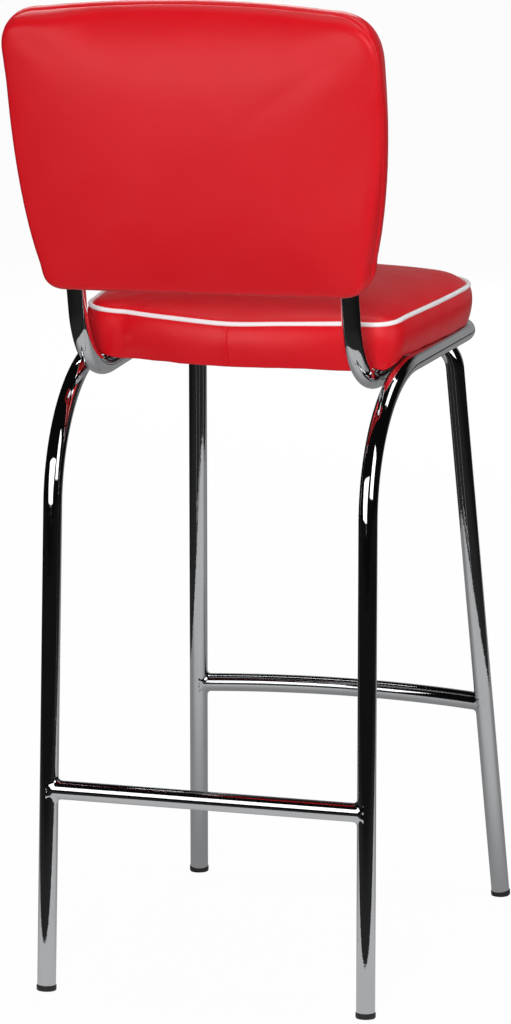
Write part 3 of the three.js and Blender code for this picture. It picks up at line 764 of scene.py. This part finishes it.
def band_sag(outline):
    """How far the band hangs below the board. Beside a rail it stays above the rail's top."""
    x, y = outline.places.T
    rearward = np.maximum(outline.normals[:, 1], 0)
    room = np.maximum(SEAT_BOTTOM - RAIL_CLEARANCE - knee_top(-y), 0)
    over_upright = np.exp(-((np.abs(x) - UPRIGHT_X) / LIFT_SPREAD) ** 2) * rearward
    beside_upright = np.clip((np.abs(x) - SAG_GROWS_FROM_X) / SAG_GROWS_OVER, 0, 1) ** 2
    hang = SEAT_REAR_SAG + SAG_BESIDE_UPRIGHT * beside_upright - LIFT_OVER_UPRIGHT * over_upright
    inboard = np.clip((INBOARD_X - np.abs(x)) / INBOARD_EASE, 0, 1) * rearward
    return np.minimum(hang, room + INBOARD_ROOM * inboard)


def build_seat_top(outline, lift):
    """The top cover comes out of the piping, rolls over and crowns to the middle."""
    x, y = outline.places.T
    pucker = outline.waver(wavelength=16, seed=2.5)
    edge = PIPING_RADIUS + 0.3
    turning = np.arctan2(y - SEAT_MIDDLE_Y, x)
    by_turn = np.argsort(turning)
    half_width = (SEAT_REAR_X + SEAT_FRONT_X) / 2

    def height_at(px, py):
        inset = np.clip(outline.nearest_edge(px, py)[0] - edge, 0, None)
        around = np.arctan2(py - SEAT_MIDDLE_Y, px)
        rim_lift = np.interp(around, turning[by_turn], lift[by_turn], period=math.tau)
        crown = crown_rise(px, py, half_width, SEAT_MIDDLE_Y, SEAT_DEPTH / 2, SEAT_CROWN)
        held = np.exp(-inset / SEAT_RIM_FADE)
        frontness = np.clip((SEAT_MIDDLE_Y - py) / SEAT_DEPTH + 0.5, 0, 1)
        shoulder = SEAT_SHOULDER + SEAT_FRONT_FULLER * frontness
        return PIPING_HEIGHT + rim_lift * held + shoulder * (1 - np.exp(-inset / shoulder)) + crown

    rings = [
        ring(outline, 1.6 - edge, PIPING_HEIGHT + lift),
        ring(outline, 0.2 - edge, PIPING_HEIGHT + lift + 0.2),
    ]
    for step in range(12):
        inset = 0.15 + 13 * (step / 11) ** 1.6
        fade = math.exp(-inset / 7) * min(step + 1, 4) / 4
        made = face_ring(outline, edge + inset, height_at)
        made[:, 2] += 0.3 * fade * pucker
        rings.append(made)
    rings, top = settled_cover(*crowned(rings, height_at), 1)
    piece = sewn_piece("seat_top", rings, SEAT_PLACE, top)
    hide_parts("seat_top_cover", "seat_foam")
    return piece


def build_seat_band(outline, lift, sag):
    """The band runs down from the piping and round under the board to the end of its hem."""
    sway = outline.waver(wavelength=95, seed=7.1)
    ripple = outline.waver(wavelength=24, seed=4.4)
    pleats = outline.waver(wavelength=11, seed=9.7)
    groove = SEAM_GROOVE * np.exp(-(outline.from_seam / 0.8) ** 2)
    beside_seam = np.exp(-(outline.from_seam / 5) ** 2)
    rings = []
    band_top = PIPING_HEIGHT - 1.2
    for step in range(SEAT_BAND_STEPS + 1):
        share = step / SEAT_BAND_STEPS
        level = band_top + (SEAT_BOTTOM + SEAT_TURN_HEIGHT - band_top) * share
        outset = bulge_at((share * 0.96 + 0.04) ** 0.8, SEAT_BULGE) * (1 + 0.16 * sway)
        outset = outset + 0.3 * ripple * np.exp(-share * 6) + 0.5 * sway * share
        outset = outset + 0.7 * beside_seam * math.sin(math.pi * share) - groove
        settle = -sag * share + lift * (1 - share) + 0.5 * ripple * share ** 3
        rings.append(ring(outline, outset, level + settle))

    # The turn under the lower edge, then the hem along the board's underside
    lowest = SEAT_BOTTOM - sag + 0.5 * ripple
    end_outset = bulge_at(1, SEAT_BULGE) + 0.5 * sway
    for step in range(1, SEAT_TURN_STEPS + 1):
        angle = math.pi / 2 * step / SEAT_TURN_STEPS
        outset = end_outset - SEAT_HEM_TURN * (1 - math.cos(angle)) - groove
        height = lowest + SEAT_TURN_HEIGHT - SEAT_TURN_HEIGHT * math.sin(angle)
        rings.append(ring(outline, outset, height))
    for share in (0.12, 0.3, 0.5, 0.7, 0.85, 1):
        outset = -SEAT_HEM_TURN + (SEAT_HEM_TURN - SEAT_HEM) * share
        settled = (1 - share) * (0.5 * ripple - sag) - 0.35 * pleats * math.sin(math.pi * share)
        rings.append(ring(outline, outset, SEAT_BOTTOM + settled))
    rings.append(ring(outline, -SEAT_HEM, SEAT_BOTTOM + 1))
    piece = sewn_piece("seat_band", rings, SEAT_PLACE, flip=True)
    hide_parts("seat_side_band")
    return piece


def build_piping(outline, lift):
    rings = []
    for angle in turns(PIPING_SIDES):
        height = PIPING_HEIGHT + lift + PIPING_RADIUS * math.sin(angle)
        rings.append(ring(outline, PIPING_RADIUS * math.cos(angle), height))
    piece = sewn_piece("seat_welt", rings, SEAT_PLACE, wraps=True)
    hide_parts("seat_piping")
    return piece


def build_dust_cover(outline):
    outset = -SEAT_HEM + DUST_COVER_OVERLAP
    rings = [ring(outline, outset, SEAT_BOTTOM + height) for height in (1.1, 0.3)]
    rim = rings[-1]
    middle = rim.mean(0)
    for share in (0.1, 0.25, 0.4, 0.55, 0.7, 0.85):
        rings.append(rim + (middle - rim) * share)
    piece = sewn_piece("dust_cloth", rings, SEAT_PLACE, middle, flip=True)
    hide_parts("seat_dust_cover")
    width, length = np.ptp(rim[:, :2], axis=0) * MM
    return piece


# Back pad

def rear_seam_line(outline):
    """The rear seam's place in the pad's depth. It is further forward at the top and right."""
    lowness = np.clip((250 - outline.places[:, 1]) / 200, 0, 1)
    turned = eased((outline.normals[:, 1] - outline.normals[:, 0]) * 0.75 + 0.3)
    along_side = BACK_REAR_SEAM_SIDE + (BACK_REAR_SEAM_LOW - BACK_REAR_SEAM_SIDE) * lowness
    upward = np.clip(outline.normals[:, 1], 0, 1) ** 2
    forward = along_side + (BACK_REAR_SEAM_TOP - along_side) * upward
    return BACK_REAR_SEAM + (forward - BACK_REAR_SEAM) * turned


def build_back(outline):
    gather = outline.waver(wavelength=9, seed=5.2)
    sway = outline.waver(wavelength=70, seed=1.9)
    rear_seam = rear_seam_line(outline)
    front_seam = BACK_FRONT_SEAM * np.ones(outline.count)

    def crown_at(px, py, crown):
        flare = np.clip(py / BACK_WIDEST_RISE, 0, 1)
        half_width = BACK_BOTTOM_X_LEFT + (BACK_TOP_X_LEFT - BACK_BOTTOM_X_LEFT) * flare
        half_length = BACK_LENGTH / 2
        return crown_rise(px - BACK_SHIFT_X, py, half_width, half_length, half_length, crown)

    def rear_height(px, py):
        """The rear face's height. It is thinner toward the right edge and the top."""
        inset, edge = outline.nearest_edge(px, py)
        beside = eased(-px, 120, 220) * eased(py, 60, 210)
        above = eased(py, 250, 340) * eased(px, 180, 100)
        level = BACK_REAR_FLAT + BACK_REAR_THINNER * (1 - (1 - beside) * (1 - above))
        shoulder = (level - rear_seam[edge]) * (1 - np.exp(-inset / BACK_REAR_ROLL))
        return rear_seam[edge] + shoulder - crown_at(px, py, BACK_REAR_CROWN)

    def front_height(px, py):
        inset, _ = outline.nearest_edge(px, py)
        shoulder = BACK_FRONT_SHOULDER * (1 - np.exp(-inset / BACK_FRONT_ROLL))
        return BACK_FRONT_SEAM + 0.8 + shoulder + crown_at(px, py, BACK_FRONT_CROWN)

    def face(name, seam, height_at, towards, nodes):
        """A face sewn in at its seam, with the seam's gathers running in from the edge."""
        rings = [ring(outline, BACK_SEAM_IN, seam), ring(outline, -0.7, seam + towards * 0.4)]
        for step in range(13):
            inset = 0.3 + 11 * (step / 12) ** 1.5
            fade = math.exp(-inset / 6) * min(step + 1, 3) / 3
            made = face_ring(outline, inset, height_at)
            made[:, 2] += towards * 0.45 * gather * fade
            rings.append(made)
        rings, top = settled_cover(*crowned(rings, height_at), towards)
        piece = sewn_piece(name, rings, BACK_FRAME, top, flip=towards < 0)
        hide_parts(*nodes)
        return piece

    rear = face("back_rear", rear_seam, rear_height, -1, ("back_rear_cover", "back_rear_foam"))
    front = face("back_front", front_seam, front_height, 1, ("back_front_cover", "back_front_foam"))

    # Band between the two seams
    rings = []
    for step in range(BACK_BAND_STEPS + 1):
        share = step / BACK_BAND_STEPS
        height = rear_seam + (BACK_FRONT_SEAM - rear_seam) * share
        shoulder = 1 - math.exp(-min(share, 1 - share) * 22)
        near_seam = math.exp(-share * 7) * shoulder + 0.7 * math.exp(-(1 - share) * 8) * shoulder
        outset = BACK_SEAM_IN + (bulge_at(share, BACK_BULGE) - BACK_SEAM_IN) * shoulder
        outset = outset + 0.8 * gather * near_seam + 0.3 * sway * math.sin(math.pi * share)
        rings.append(ring(outline, outset, height))
    band = sewn_piece("back_band", rings, BACK_FRAME)
    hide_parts("back_side_band")
    return rear, front, band


def build_back_board(outline):
    """The pad's plywood, cut to the sewn outline so that it stays inside the band."""
    chamfer = BACK_BOARD_CHAMFER
    rings = []
    for trim, height in (
        (chamfer, 0), (0, chamfer),
        (0, BACK_BOARD_THICKNESS - chamfer), (chamfer, BACK_BOARD_THICKNESS),
    ):
        rings.append(ring(outline, -BACK_BOARD_INSET - trim, BACK_BOARD_REAR + height))
    faces = ring_faces(len(rings), outline.count) + end_faces(len(rings), outline.count)
    vertices = [BACK_FRAME @ Vector(v) for v in np.vstack(rings) * MM]
    board = mesh_piece("back_plywood", vertices, faces)
    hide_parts("back_board")
    return board


# Finishes

class Shader:
    """A node tree, with short ways to add a node and to link or set what goes into it."""

    def __init__(self, tree):
        self.nodes, self.links = tree.nodes, tree.links

    def feed(self, socket, value):
        if isinstance(value, bpy.types.NodeSocket):
            self.links.new(value, socket)
        else:
            socket.default_value = value

    def add(self, kind, **settings):
        made = self.nodes.new(kind)
        for key, value in settings.items():
            if key in made.inputs:
                self.feed(made.inputs[key], value)
            else:
                setattr(made, key, value)
        return made

    def operate(self, kind, operation, values):
        made = self.add(kind, operation=operation)
        for socket, value in zip(made.inputs, values):
            self.feed(socket, value)
        return made.outputs

    def math(self, operation, *values):
        return self.operate("ShaderNodeMath", operation, values)[0]

    def vector(self, operation, *values, output="Vector"):
        return self.operate("ShaderNodeVectorMath", operation, values)[output]

    def ramp(self, value, start, end, low=0.0, high=1.0, kind="SMOOTHSTEP"):
        """Goes from low to high while the value goes from start to end."""
        levels = {"From Min": start, "From Max": end, "To Min": low, "To Max": high}
        made = self.add("ShaderNodeMapRange", interpolation_type=kind, Value=value, **levels)
        return made.outputs[0]

    def place(self):
        return self.add("ShaderNodeTexCoord").outputs["Object"]


def effect_group(name, inputs, outputs):
    group = bpy.data.node_groups.new(name, "ShaderNodeTree")
    for label, value in inputs.items():
        socket = group.interface.new_socket(label, in_out="INPUT", socket_type="NodeSocketFloat")
        socket.default_value = value
    for label in outputs:
        group.interface.new_socket(label, in_out="OUTPUT", socket_type="NodeSocketFloat")
    given, out = group.nodes.new("NodeGroupInput"), group.nodes.new("NodeGroupOutput")
    return group, Shader(group), given.outputs, out.inputs


def grain_group():
    """Embossed grain: shallow cells with soft edges and a fine tooth."""
    group, tree, given, out = effect_group(
        "embossed_grain", {"Cells": 700.0, "Tooth": 2600.0}, ["Height", "Shade"],
    )
    place = tree.place()
    cells = tree.add(
        "ShaderNodeTexVoronoi", feature="DISTANCE_TO_EDGE", Scale=given["Cells"], Vector=place,
    )
    tooth = tree.add("ShaderNodeTexNoise", Scale=given["Tooth"], Vector=place)
    broad = tree.add("ShaderNodeTexNoise", Scale=9.0, Vector=place)
    rounded = tree.math("POWER", cells.outputs["Distance"], 0.5)
    fine = tree.math("MULTIPLY", tooth.outputs[0], 0.3)
    tree.feed(out["Height"], tree.math("ADD", rounded, fine))
    tree.feed(out["Shade"], broad.outputs[0])
    return group


def mottle_group():
    """Broad and fine mottling, for handling marks and uneven polish."""
    group, tree, given, out = effect_group(
        "uneven_polish", {"Size": 14.0, "Low": 0.0, "High": 1.0}, ["Value"],
    )
    cloud = tree.add(
        "ShaderNodeTexNoise", Detail=5.0, Roughness=0.6, Scale=given["Size"], Vector=tree.place(),
    )
    spread = tree.ramp(cloud.outputs[0], 0.3, 0.7, given["Low"], given["High"], "LINEAR")
    tree.feed(out["Value"], spread)
    return group


GRAIN = grain_group()
MOTTLE = mottle_group()


def new_material(name):
    material = bpy.data.materials.new(name)
    material.use_nodes = True
    return material


class Finish(Shader):
    """A material with a Principled surface."""

    def __init__(self, name, metallic=0.0):
        self.material = new_material(name)
        super().__init__(self.material.node_tree)
        self.surface = self.nodes["Principled BSDF"]
        self.surface.inputs["Metallic"].default_value = metallic

    def mottle(self, size, low=0.0, high=1.0):
        made = self.add("ShaderNodeGroup", node_tree=MOTTLE, Size=size, Low=low, High=high)
        return made.outputs[0]

    def grain(self, cells, tooth):
        return self.add("ShaderNodeGroup", node_tree=GRAIN, Cells=cells, Tooth=tooth).outputs

    def colour(self, factor, low, high):
        mix = self.add("ShaderNodeMix", data_type="RGBA", A=(*low, 1), B=(*high, 1))
        self.feed(mix.inputs["Factor"], factor)
        self.feed(self.surface.inputs["Base Color"], mix.outputs["Result"])

    def gloss(self, size, low, high):
        """Roughness that wanders between two values in patches of a size."""
        self.feed(self.surface.inputs["Roughness"], self.mottle(size, low, high))

    def bump(self, height, distance, strength=1.0):
        made = self.add("ShaderNodeBump", Height=height, Distance=distance, Strength=strength)
        self.feed(self.surface.inputs["Normal"], made.outputs["Normal"])


def chrome_finish(name, wobble, low, high):
    """Polished chrome over tube. The wobble is the depth of its unevenness, in metres."""
    chrome = Finish(name, metallic=1)
    chrome.colour(chrome.mottle(5.0), (0.74, 0.75, 0.77), (0.82, 0.83, 0.85))
    chrome.gloss(38.0, low, high)
    chrome.bump(chrome.mottle(45.0), wobble)
    return chrome.material


def vinyl_finish(name, dark, light, cells, depth, rough):
    vinyl = Finish(name)
    grain = vinyl.grain(cells, cells * 3.5)
    vinyl.colour(grain["Shade"], dark, light)
    vinyl.gloss(20.0, rough - 0.04, rough + 0.05)
    vinyl.bump(grain["Height"], depth, 0.6)
    return vinyl.material


def zinc_finish():
    zinc = Finish("zinc_plate", metallic=1)
    zinc.colour(zinc.mottle(400.0), (0.45, 0.46, 0.46), (0.66, 0.67, 0.66))
    zinc.gloss(250.0, 0.28, 0.45)
    return zinc.material


def cap_finish():
    plastic = Finish("moulded_black_plastic")
    grain = plastic.grain(1800.0, 5200.0)
    plastic.colour(grain["Shade"], (0.010, 0.010, 0.011), (0.020, 0.020, 0.021))
    plastic.gloss(120.0, 0.34, 0.5)
    plastic.bump(grain["Height"], 0.00003, 0.5)
    return plastic.material


def plywood_finish():
    wood = Finish("plywood_board")
    stretched = wood.add("ShaderNodeMapping", Scale=(40.0, 4.0, 160.0), Vector=wood.place())
    figure = wood.add("ShaderNodeTexNoise", Scale=3.0, Detail=8.0, Vector=stretched.outputs[0])
    wood.colour(figure.outputs[0], (0.45, 0.28, 0.13), (0.72, 0.52, 0.31))
    wood.gloss(60.0, 0.6, 0.8)
    wood.bump(figure.outputs[0], 0.0001, 0.5)
    return wood.material


def cloth_finish():
    """Thin black bonded cloth with a plain weave."""
    cloth = Finish("black_dust_cloth")
    place = cloth.place()
    threads = []
    for direction in ("X", "Y"):
        wave = cloth.add("ShaderNodeTexWave", Scale=900.0, bands_direction=direction, Vector=place)
        threads.append(wave.outputs["Fac"])
    weave = cloth.math("MAXIMUM", *threads)
    cloth.colour(weave, (0.008, 0.008, 0.009), (0.03, 0.03, 0.032))
    cloth.gloss(90.0, 0.85, 0.98)
    cloth.bump(weave, 0.0002, 0.7)
    return cloth.material


CHROME = chrome_finish("polished_chrome", wobble=0.00004, low=0.02, high=0.06)
WELD_CHROME = chrome_finish("chromed_weld", wobble=0.0004, low=0.04, high=0.12)
RED = vinyl_finish(
    "red_vinyl", (0.66, 0.0048, 0.0115), (0.73, 0.0060, 0.0140),
    cells=800.0, depth=0.00006, rough=0.35,
)
WHITE = vinyl_finish(
    "white_vinyl", (0.93, 0.90, 0.92), (0.97, 0.95, 0.96),
    cells=1300.0, depth=0.00003, rough=0.36,
)
ZINC = zinc_finish()
BLACK = cap_finish()
PLYWOOD = plywood_finish()
CLOTH = cloth_finish()


# The stool

def dress(piece, slot, *materials):
    piece.data.materials.clear()
    for material in materials:
        piece.data.materials.append(material)
    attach(piece, "root")


for piece in build_frame():
    dress(piece, "chrome", CHROME, WELD_CHROME)
for piece in build_uprights():
    dress(piece, "chrome", CHROME)
for piece in build_foot_caps():
    dress(piece, "black_plastic", BLACK)
for piece in build_screws():
    dress(piece, "zinc", ZINC)

seat_line, back_line = seat_outline(), back_outline()
lift = piping_lift(seat_line)
seat_top = build_seat_top(seat_line, lift)
seat_band = build_seat_band(seat_line, lift, band_sag(seat_line))
seat_welt = build_piping(seat_line, lift)
for piece in (seat_top, seat_band, *build_back(back_line)):
    dress(piece, "red_vinyl", RED)
dress(seat_welt, "white_vinyl", WHITE)
dress(build_back_board(back_line), "plywood", PLYWOOD)
dress(build_dust_cover(seat_line), "black_cloth", CLOTH)

CARRIED = {"seat_bracket": CHROME, "tee_nut": ZINC, "back_screw": ZINC, "board": PLYWOOD}
for name, cad_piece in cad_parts.items():
    for part_name, material in CARRIED.items():
        if part_name in name:
            cad_piece.data.materials.clear()
            cad_piece.data.materials.append(material)


# Studio

# The paper card, the shade disc and the room sphere below are glowing cards that only reflections
# see: painted reflections, not surfaces lit by the lamps.
PAPER_MIDDLE = Vector((-0.05, -0.5))
PAPER_HALF_WIDTH = 1.18
PAPER_NEAR_REACH = 1.15
PAPER_FAR_Y = -4.1
SHADE_FLOOR_RADIUS = 5.8
FAR_WALL_GLOW = 0.275
ROOM_SHADE_GLOW = 0.0035
FLOOR_UNSEEN = 0.34
FLOOR_GLOW = 0.965
WORLD_FILL = 0.12


class Glow(Shader):
    """A material that only glows."""

    def __init__(self, name):
        self.material = new_material(name)
        super().__init__(self.material.node_tree)
        self.nodes.clear()
        light = self.add("ShaderNodeEmission")
        self.add("ShaderNodeOutputMaterial", Surface=light.outputs[0])
        self.strength = light.inputs["Strength"]


def only_in_reflections(piece, glow):
    piece.data.materials.append(glow.material)
    for kind in ("camera", "diffuse", "transmission", "volume_scatter", "shadow"):
        setattr(piece, f"visible_{kind}", False)


def flat_card(name, corners, glow, height):
    vertices = [Vector((x, y, height)) for x, y in corners]
    only_in_reflections(mesh_piece(name, vertices, [tuple(range(len(vertices)))]), glow)


def build_floor():
    corners = [(-30, -30, 0), (30, -30, 0), (30, 30, 0), (-30, 30, 0)]
    floor = mesh_piece("floor", corners, [(0, 1, 2, 3)])
    white = Finish("white_floor")
    white.surface.inputs["Roughness"].default_value = 0.9
    rays = white.add("ShaderNodeLightPath").outputs
    seen = white.math("MAXIMUM", rays["Is Camera Ray"], rays["Is Transmission Ray"])
    white.colour(seen, (FLOOR_UNSEEN,) * 3, (1, 1, 1))
    glow = white.add("ShaderNodeEmission", Strength=1.0)
    mix = white.add("ShaderNodeMixShader")
    shares = (white.math("MULTIPLY", seen, FLOOR_GLOW), white.surface.outputs[0], glow.outputs[0])
    for socket, share in zip(mix.inputs, shares):
        white.feed(socket, share)
    white.feed(white.nodes["Material Output"].inputs["Surface"], mix.outputs[0])
    floor.data.materials.append(white.material)
    floor.visible_glossy = False


def build_painted_paper():
    """A glowing card under the stool that only reflections see: a painted reflection of pale paper,
    its glow painted brighter toward one side as if light fell on that side, with a round near end.
    """
    corners = []
    for step in range(65):
        angle = math.pi * step / 64
        reach = Vector((math.cos(angle) * PAPER_HALF_WIDTH, math.sin(angle) * PAPER_NEAR_REACH))
        corners.append(tuple(PAPER_MIDDLE + reach))
    for side in (-1, 1):
        corners.append((PAPER_MIDDLE.x + side * PAPER_HALF_WIDTH, PAPER_FAR_Y))
    pale = Glow("painted_paper_glow")
    # Painted light: the glow grows toward one side, standing in for light falling on paper.
    painted_light_side = pale.vector("DOT_PRODUCT", pale.place(), (-0.35, 1, 0), output="Value")
    pale.feed(pale.strength, pale.ramp(painted_light_side, -0.35, 0.3, 0.25, 0.50))
    flat_card("painted_paper_reflection", corners, pale, 0.001)


# Painted shade: a disc that only reflections see, glowing faintly so that the chrome shows a dark
# floor round the paper; the glow fades with distance.
def build_painted_shade_floor():
    dark = Glow("painted_shade_floor")
    span = dark.vector("DISTANCE", dark.place(), PAPER_MIDDLE.to_3d(), output="Value")
    dark.feed(dark.strength, dark.ramp(span, 1.3, 2.6, 0.022, 0.007))
    radius = SHADE_FLOOR_RADIUS
    disc = [(radius * math.cos(angle), radius * math.sin(angle)) for angle in turns(96)]
    flat_card("painted_shade_floor", disc, dark, 0.0005)


def build_painted_room():
    """A glowing sphere that only reflections see: a painted reflection of a dark room, with a
    painted grey band low down at its far end.
    """
    bpy.ops.mesh.primitive_uv_sphere_add(
        segments=64, ring_count=32, radius=6, location=(0, 0, 0.5),
    )
    room = bpy.context.object
    room.name = "painted_room_reflection"
    sphere_glow = Glow("painted_room_glow")
    direction = sphere_glow.vector("NORMALIZE", sphere_glow.place())
    level = sphere_glow.vector("NORMALIZE", sphere_glow.vector("MULTIPLY", direction, (1, 1, 0)))
    parts = sphere_glow.add("ShaderNodeSeparateXYZ", Vector=direction).outputs
    level_parts = sphere_glow.add("ShaderNodeSeparateXYZ", Vector=level).outputs
    far = sphere_glow.ramp(level_parts["Y"], -0.78, -0.92)
    low = sphere_glow.ramp(parts["Z"], 0.52, 0.26)
    # Painted reflection: the grey of the far wall is the sphere's own glow, and the rest glows
    # faintly dark.
    grey = sphere_glow.math("MULTIPLY", sphere_glow.math("MULTIPLY", far, low), FAR_WALL_GLOW)
    sphere_glow.feed(sphere_glow.strength, sphere_glow.math("ADD", grey, ROOM_SHADE_GLOW))
    only_in_reflections(room, sphere_glow)


def area_lamp(name, place, aim, size, watts, diffuse=True, gloss=True):
    light = bpy.data.lights.new(name, "AREA")
    light.shape = "RECTANGLE"
    light.size, light.size_y = size
    light.energy = watts
    lamp = bpy.data.objects.new(name, light)
    lamp.location = place
    lamp.rotation_euler = (Vector(aim) - Vector(place)).to_track_quat("-Z", "Y").to_euler()
    lamp.visible_camera = False
    lamp.visible_diffuse = diffuse
    lamp.visible_glossy = gloss
    bpy.context.scene.collection.objects.link(lamp)
    return light


def fill_lamp(name, place, aim, width, watts):
    """A square lamp that leaves no reflection."""
    area_lamp(name, place, aim, (width, width), watts, gloss=False)


def softbox(name, place, facing, size, brightness):
    """A softbox that only the chrome and the gloss of the vinyl see."""
    watts = brightness * math.pi * size[0] * size[1]
    return area_lamp(name, place, Vector(place) + Vector(facing), size, watts, diffuse=False)


def build_lights():
    key_aim = Vector((0, REAR_Y, 0.85))
    fill_lamp("key", Vector((-0.235, 0.949, 0.21)) * 5 + key_aim, key_aim, 1.6, 199)
    fill_lamp("top_fill", (0, -0.1, 3.4), (0, 0, 0.8), 2.4, 30)
    fill_lamp("right_fill", (-3.5, 0.1, 1.2), (0, 0.1, 0.8), 1.4, 34)
    fill_lamp("left_fill", (3.5, -0.4, 1.2), (0, 0, 0.8), 1.4, 22)
    fill_lamp("front_fill", (0.6, -4.5, 1.5), (0, 0, 0.8), 1.8, 75)
    area_lamp("far_strip", (0, -1.05, 3.2), (0, 0, 0.9), (2.4, 0.12), 3, diffuse=False)
    near, pad, beside = REAR_Y + 1.055, REAR_Y - 0.64, REAR_Y + 1.2
    softbox("near_softbox", (0.375, near, 0.778), (0, -0.703, -0.711), (1.25, 0.83), 1.75)
    softbox("high_softbox", (-1.12, -0.44, 2.75), (1.3, 0.6, -2.05), (1.0, 1.0), 1.7)
    narrow = softbox("pad_softbox", (0.25, pad, 1.62), (-0.31, 0.9, -0.25), (0.85, 0.36), 1.3)
    narrow.spread = math.radians(75)
    softbox("side_softbox", (-1.89, beside, 1.65), (0, -1, 0), (2.02, 1.5), 2.0)


def build_world():
    """White where it is seen, and a faint even fill on diffuse surfaces."""
    world = bpy.data.worlds.new("studio")
    bpy.context.scene.world = world
    world.use_nodes = True
    sky = Shader(world.node_tree)
    rays = sky.add("ShaderNodeLightPath").outputs
    seen = sky.math("MAXIMUM", rays["Is Camera Ray"], rays["Is Glossy Ray"])
    seen = sky.math("MAXIMUM", seen, rays["Is Transmission Ray"])
    background = sky.nodes["Background"].inputs
    background["Color"].default_value = (1, 1, 1, 1)
    sky.feed(background["Strength"], sky.ramp(seen, 0.0, 1.0, WORLD_FILL, 1.0, "LINEAR"))


def build_camera():
    """The photograph's view: from behind and to the sitter's right, looking a little down."""
    yaw, pitch, roll = 0.324875, 0.208083, -0.008484
    distance = 7.13554
    target = Vector((-0.00948, REAR_Y - 0.176, 0.55672))
    ahead = math.cos(pitch)
    forward = Vector((math.sin(yaw) * ahead, -math.cos(yaw) * ahead, -math.sin(pitch)))
    right = Vector((-math.cos(yaw), -math.sin(yaw), 0))
    above = right.cross(forward)
    turned_right = right * math.cos(roll) + above * math.sin(roll)
    turned_above = above * math.cos(roll) - right * math.sin(roll)
    data = bpy.data.cameras.new("photo_view")
    data.sensor_width = 36
    data.lens = 215.634
    data.shift_x = -0.00126
    data.shift_y = -0.00892
    data.clip_end = 100
    camera = bpy.data.objects.new("photo_view", data)
    axes = Matrix((turned_right, turned_above, -forward)).transposed()
    camera.matrix_world = Matrix.Translation(target - forward * distance) @ axes.to_4x4()
    bpy.context.scene.collection.objects.link(camera)
    bpy.context.scene.camera = camera


build_floor()
build_painted_paper()
build_painted_shade_floor()
build_painted_room()
build_lights()
build_world()
build_camera()
bpy.context.scene.view_settings.view_transform = "Standard"
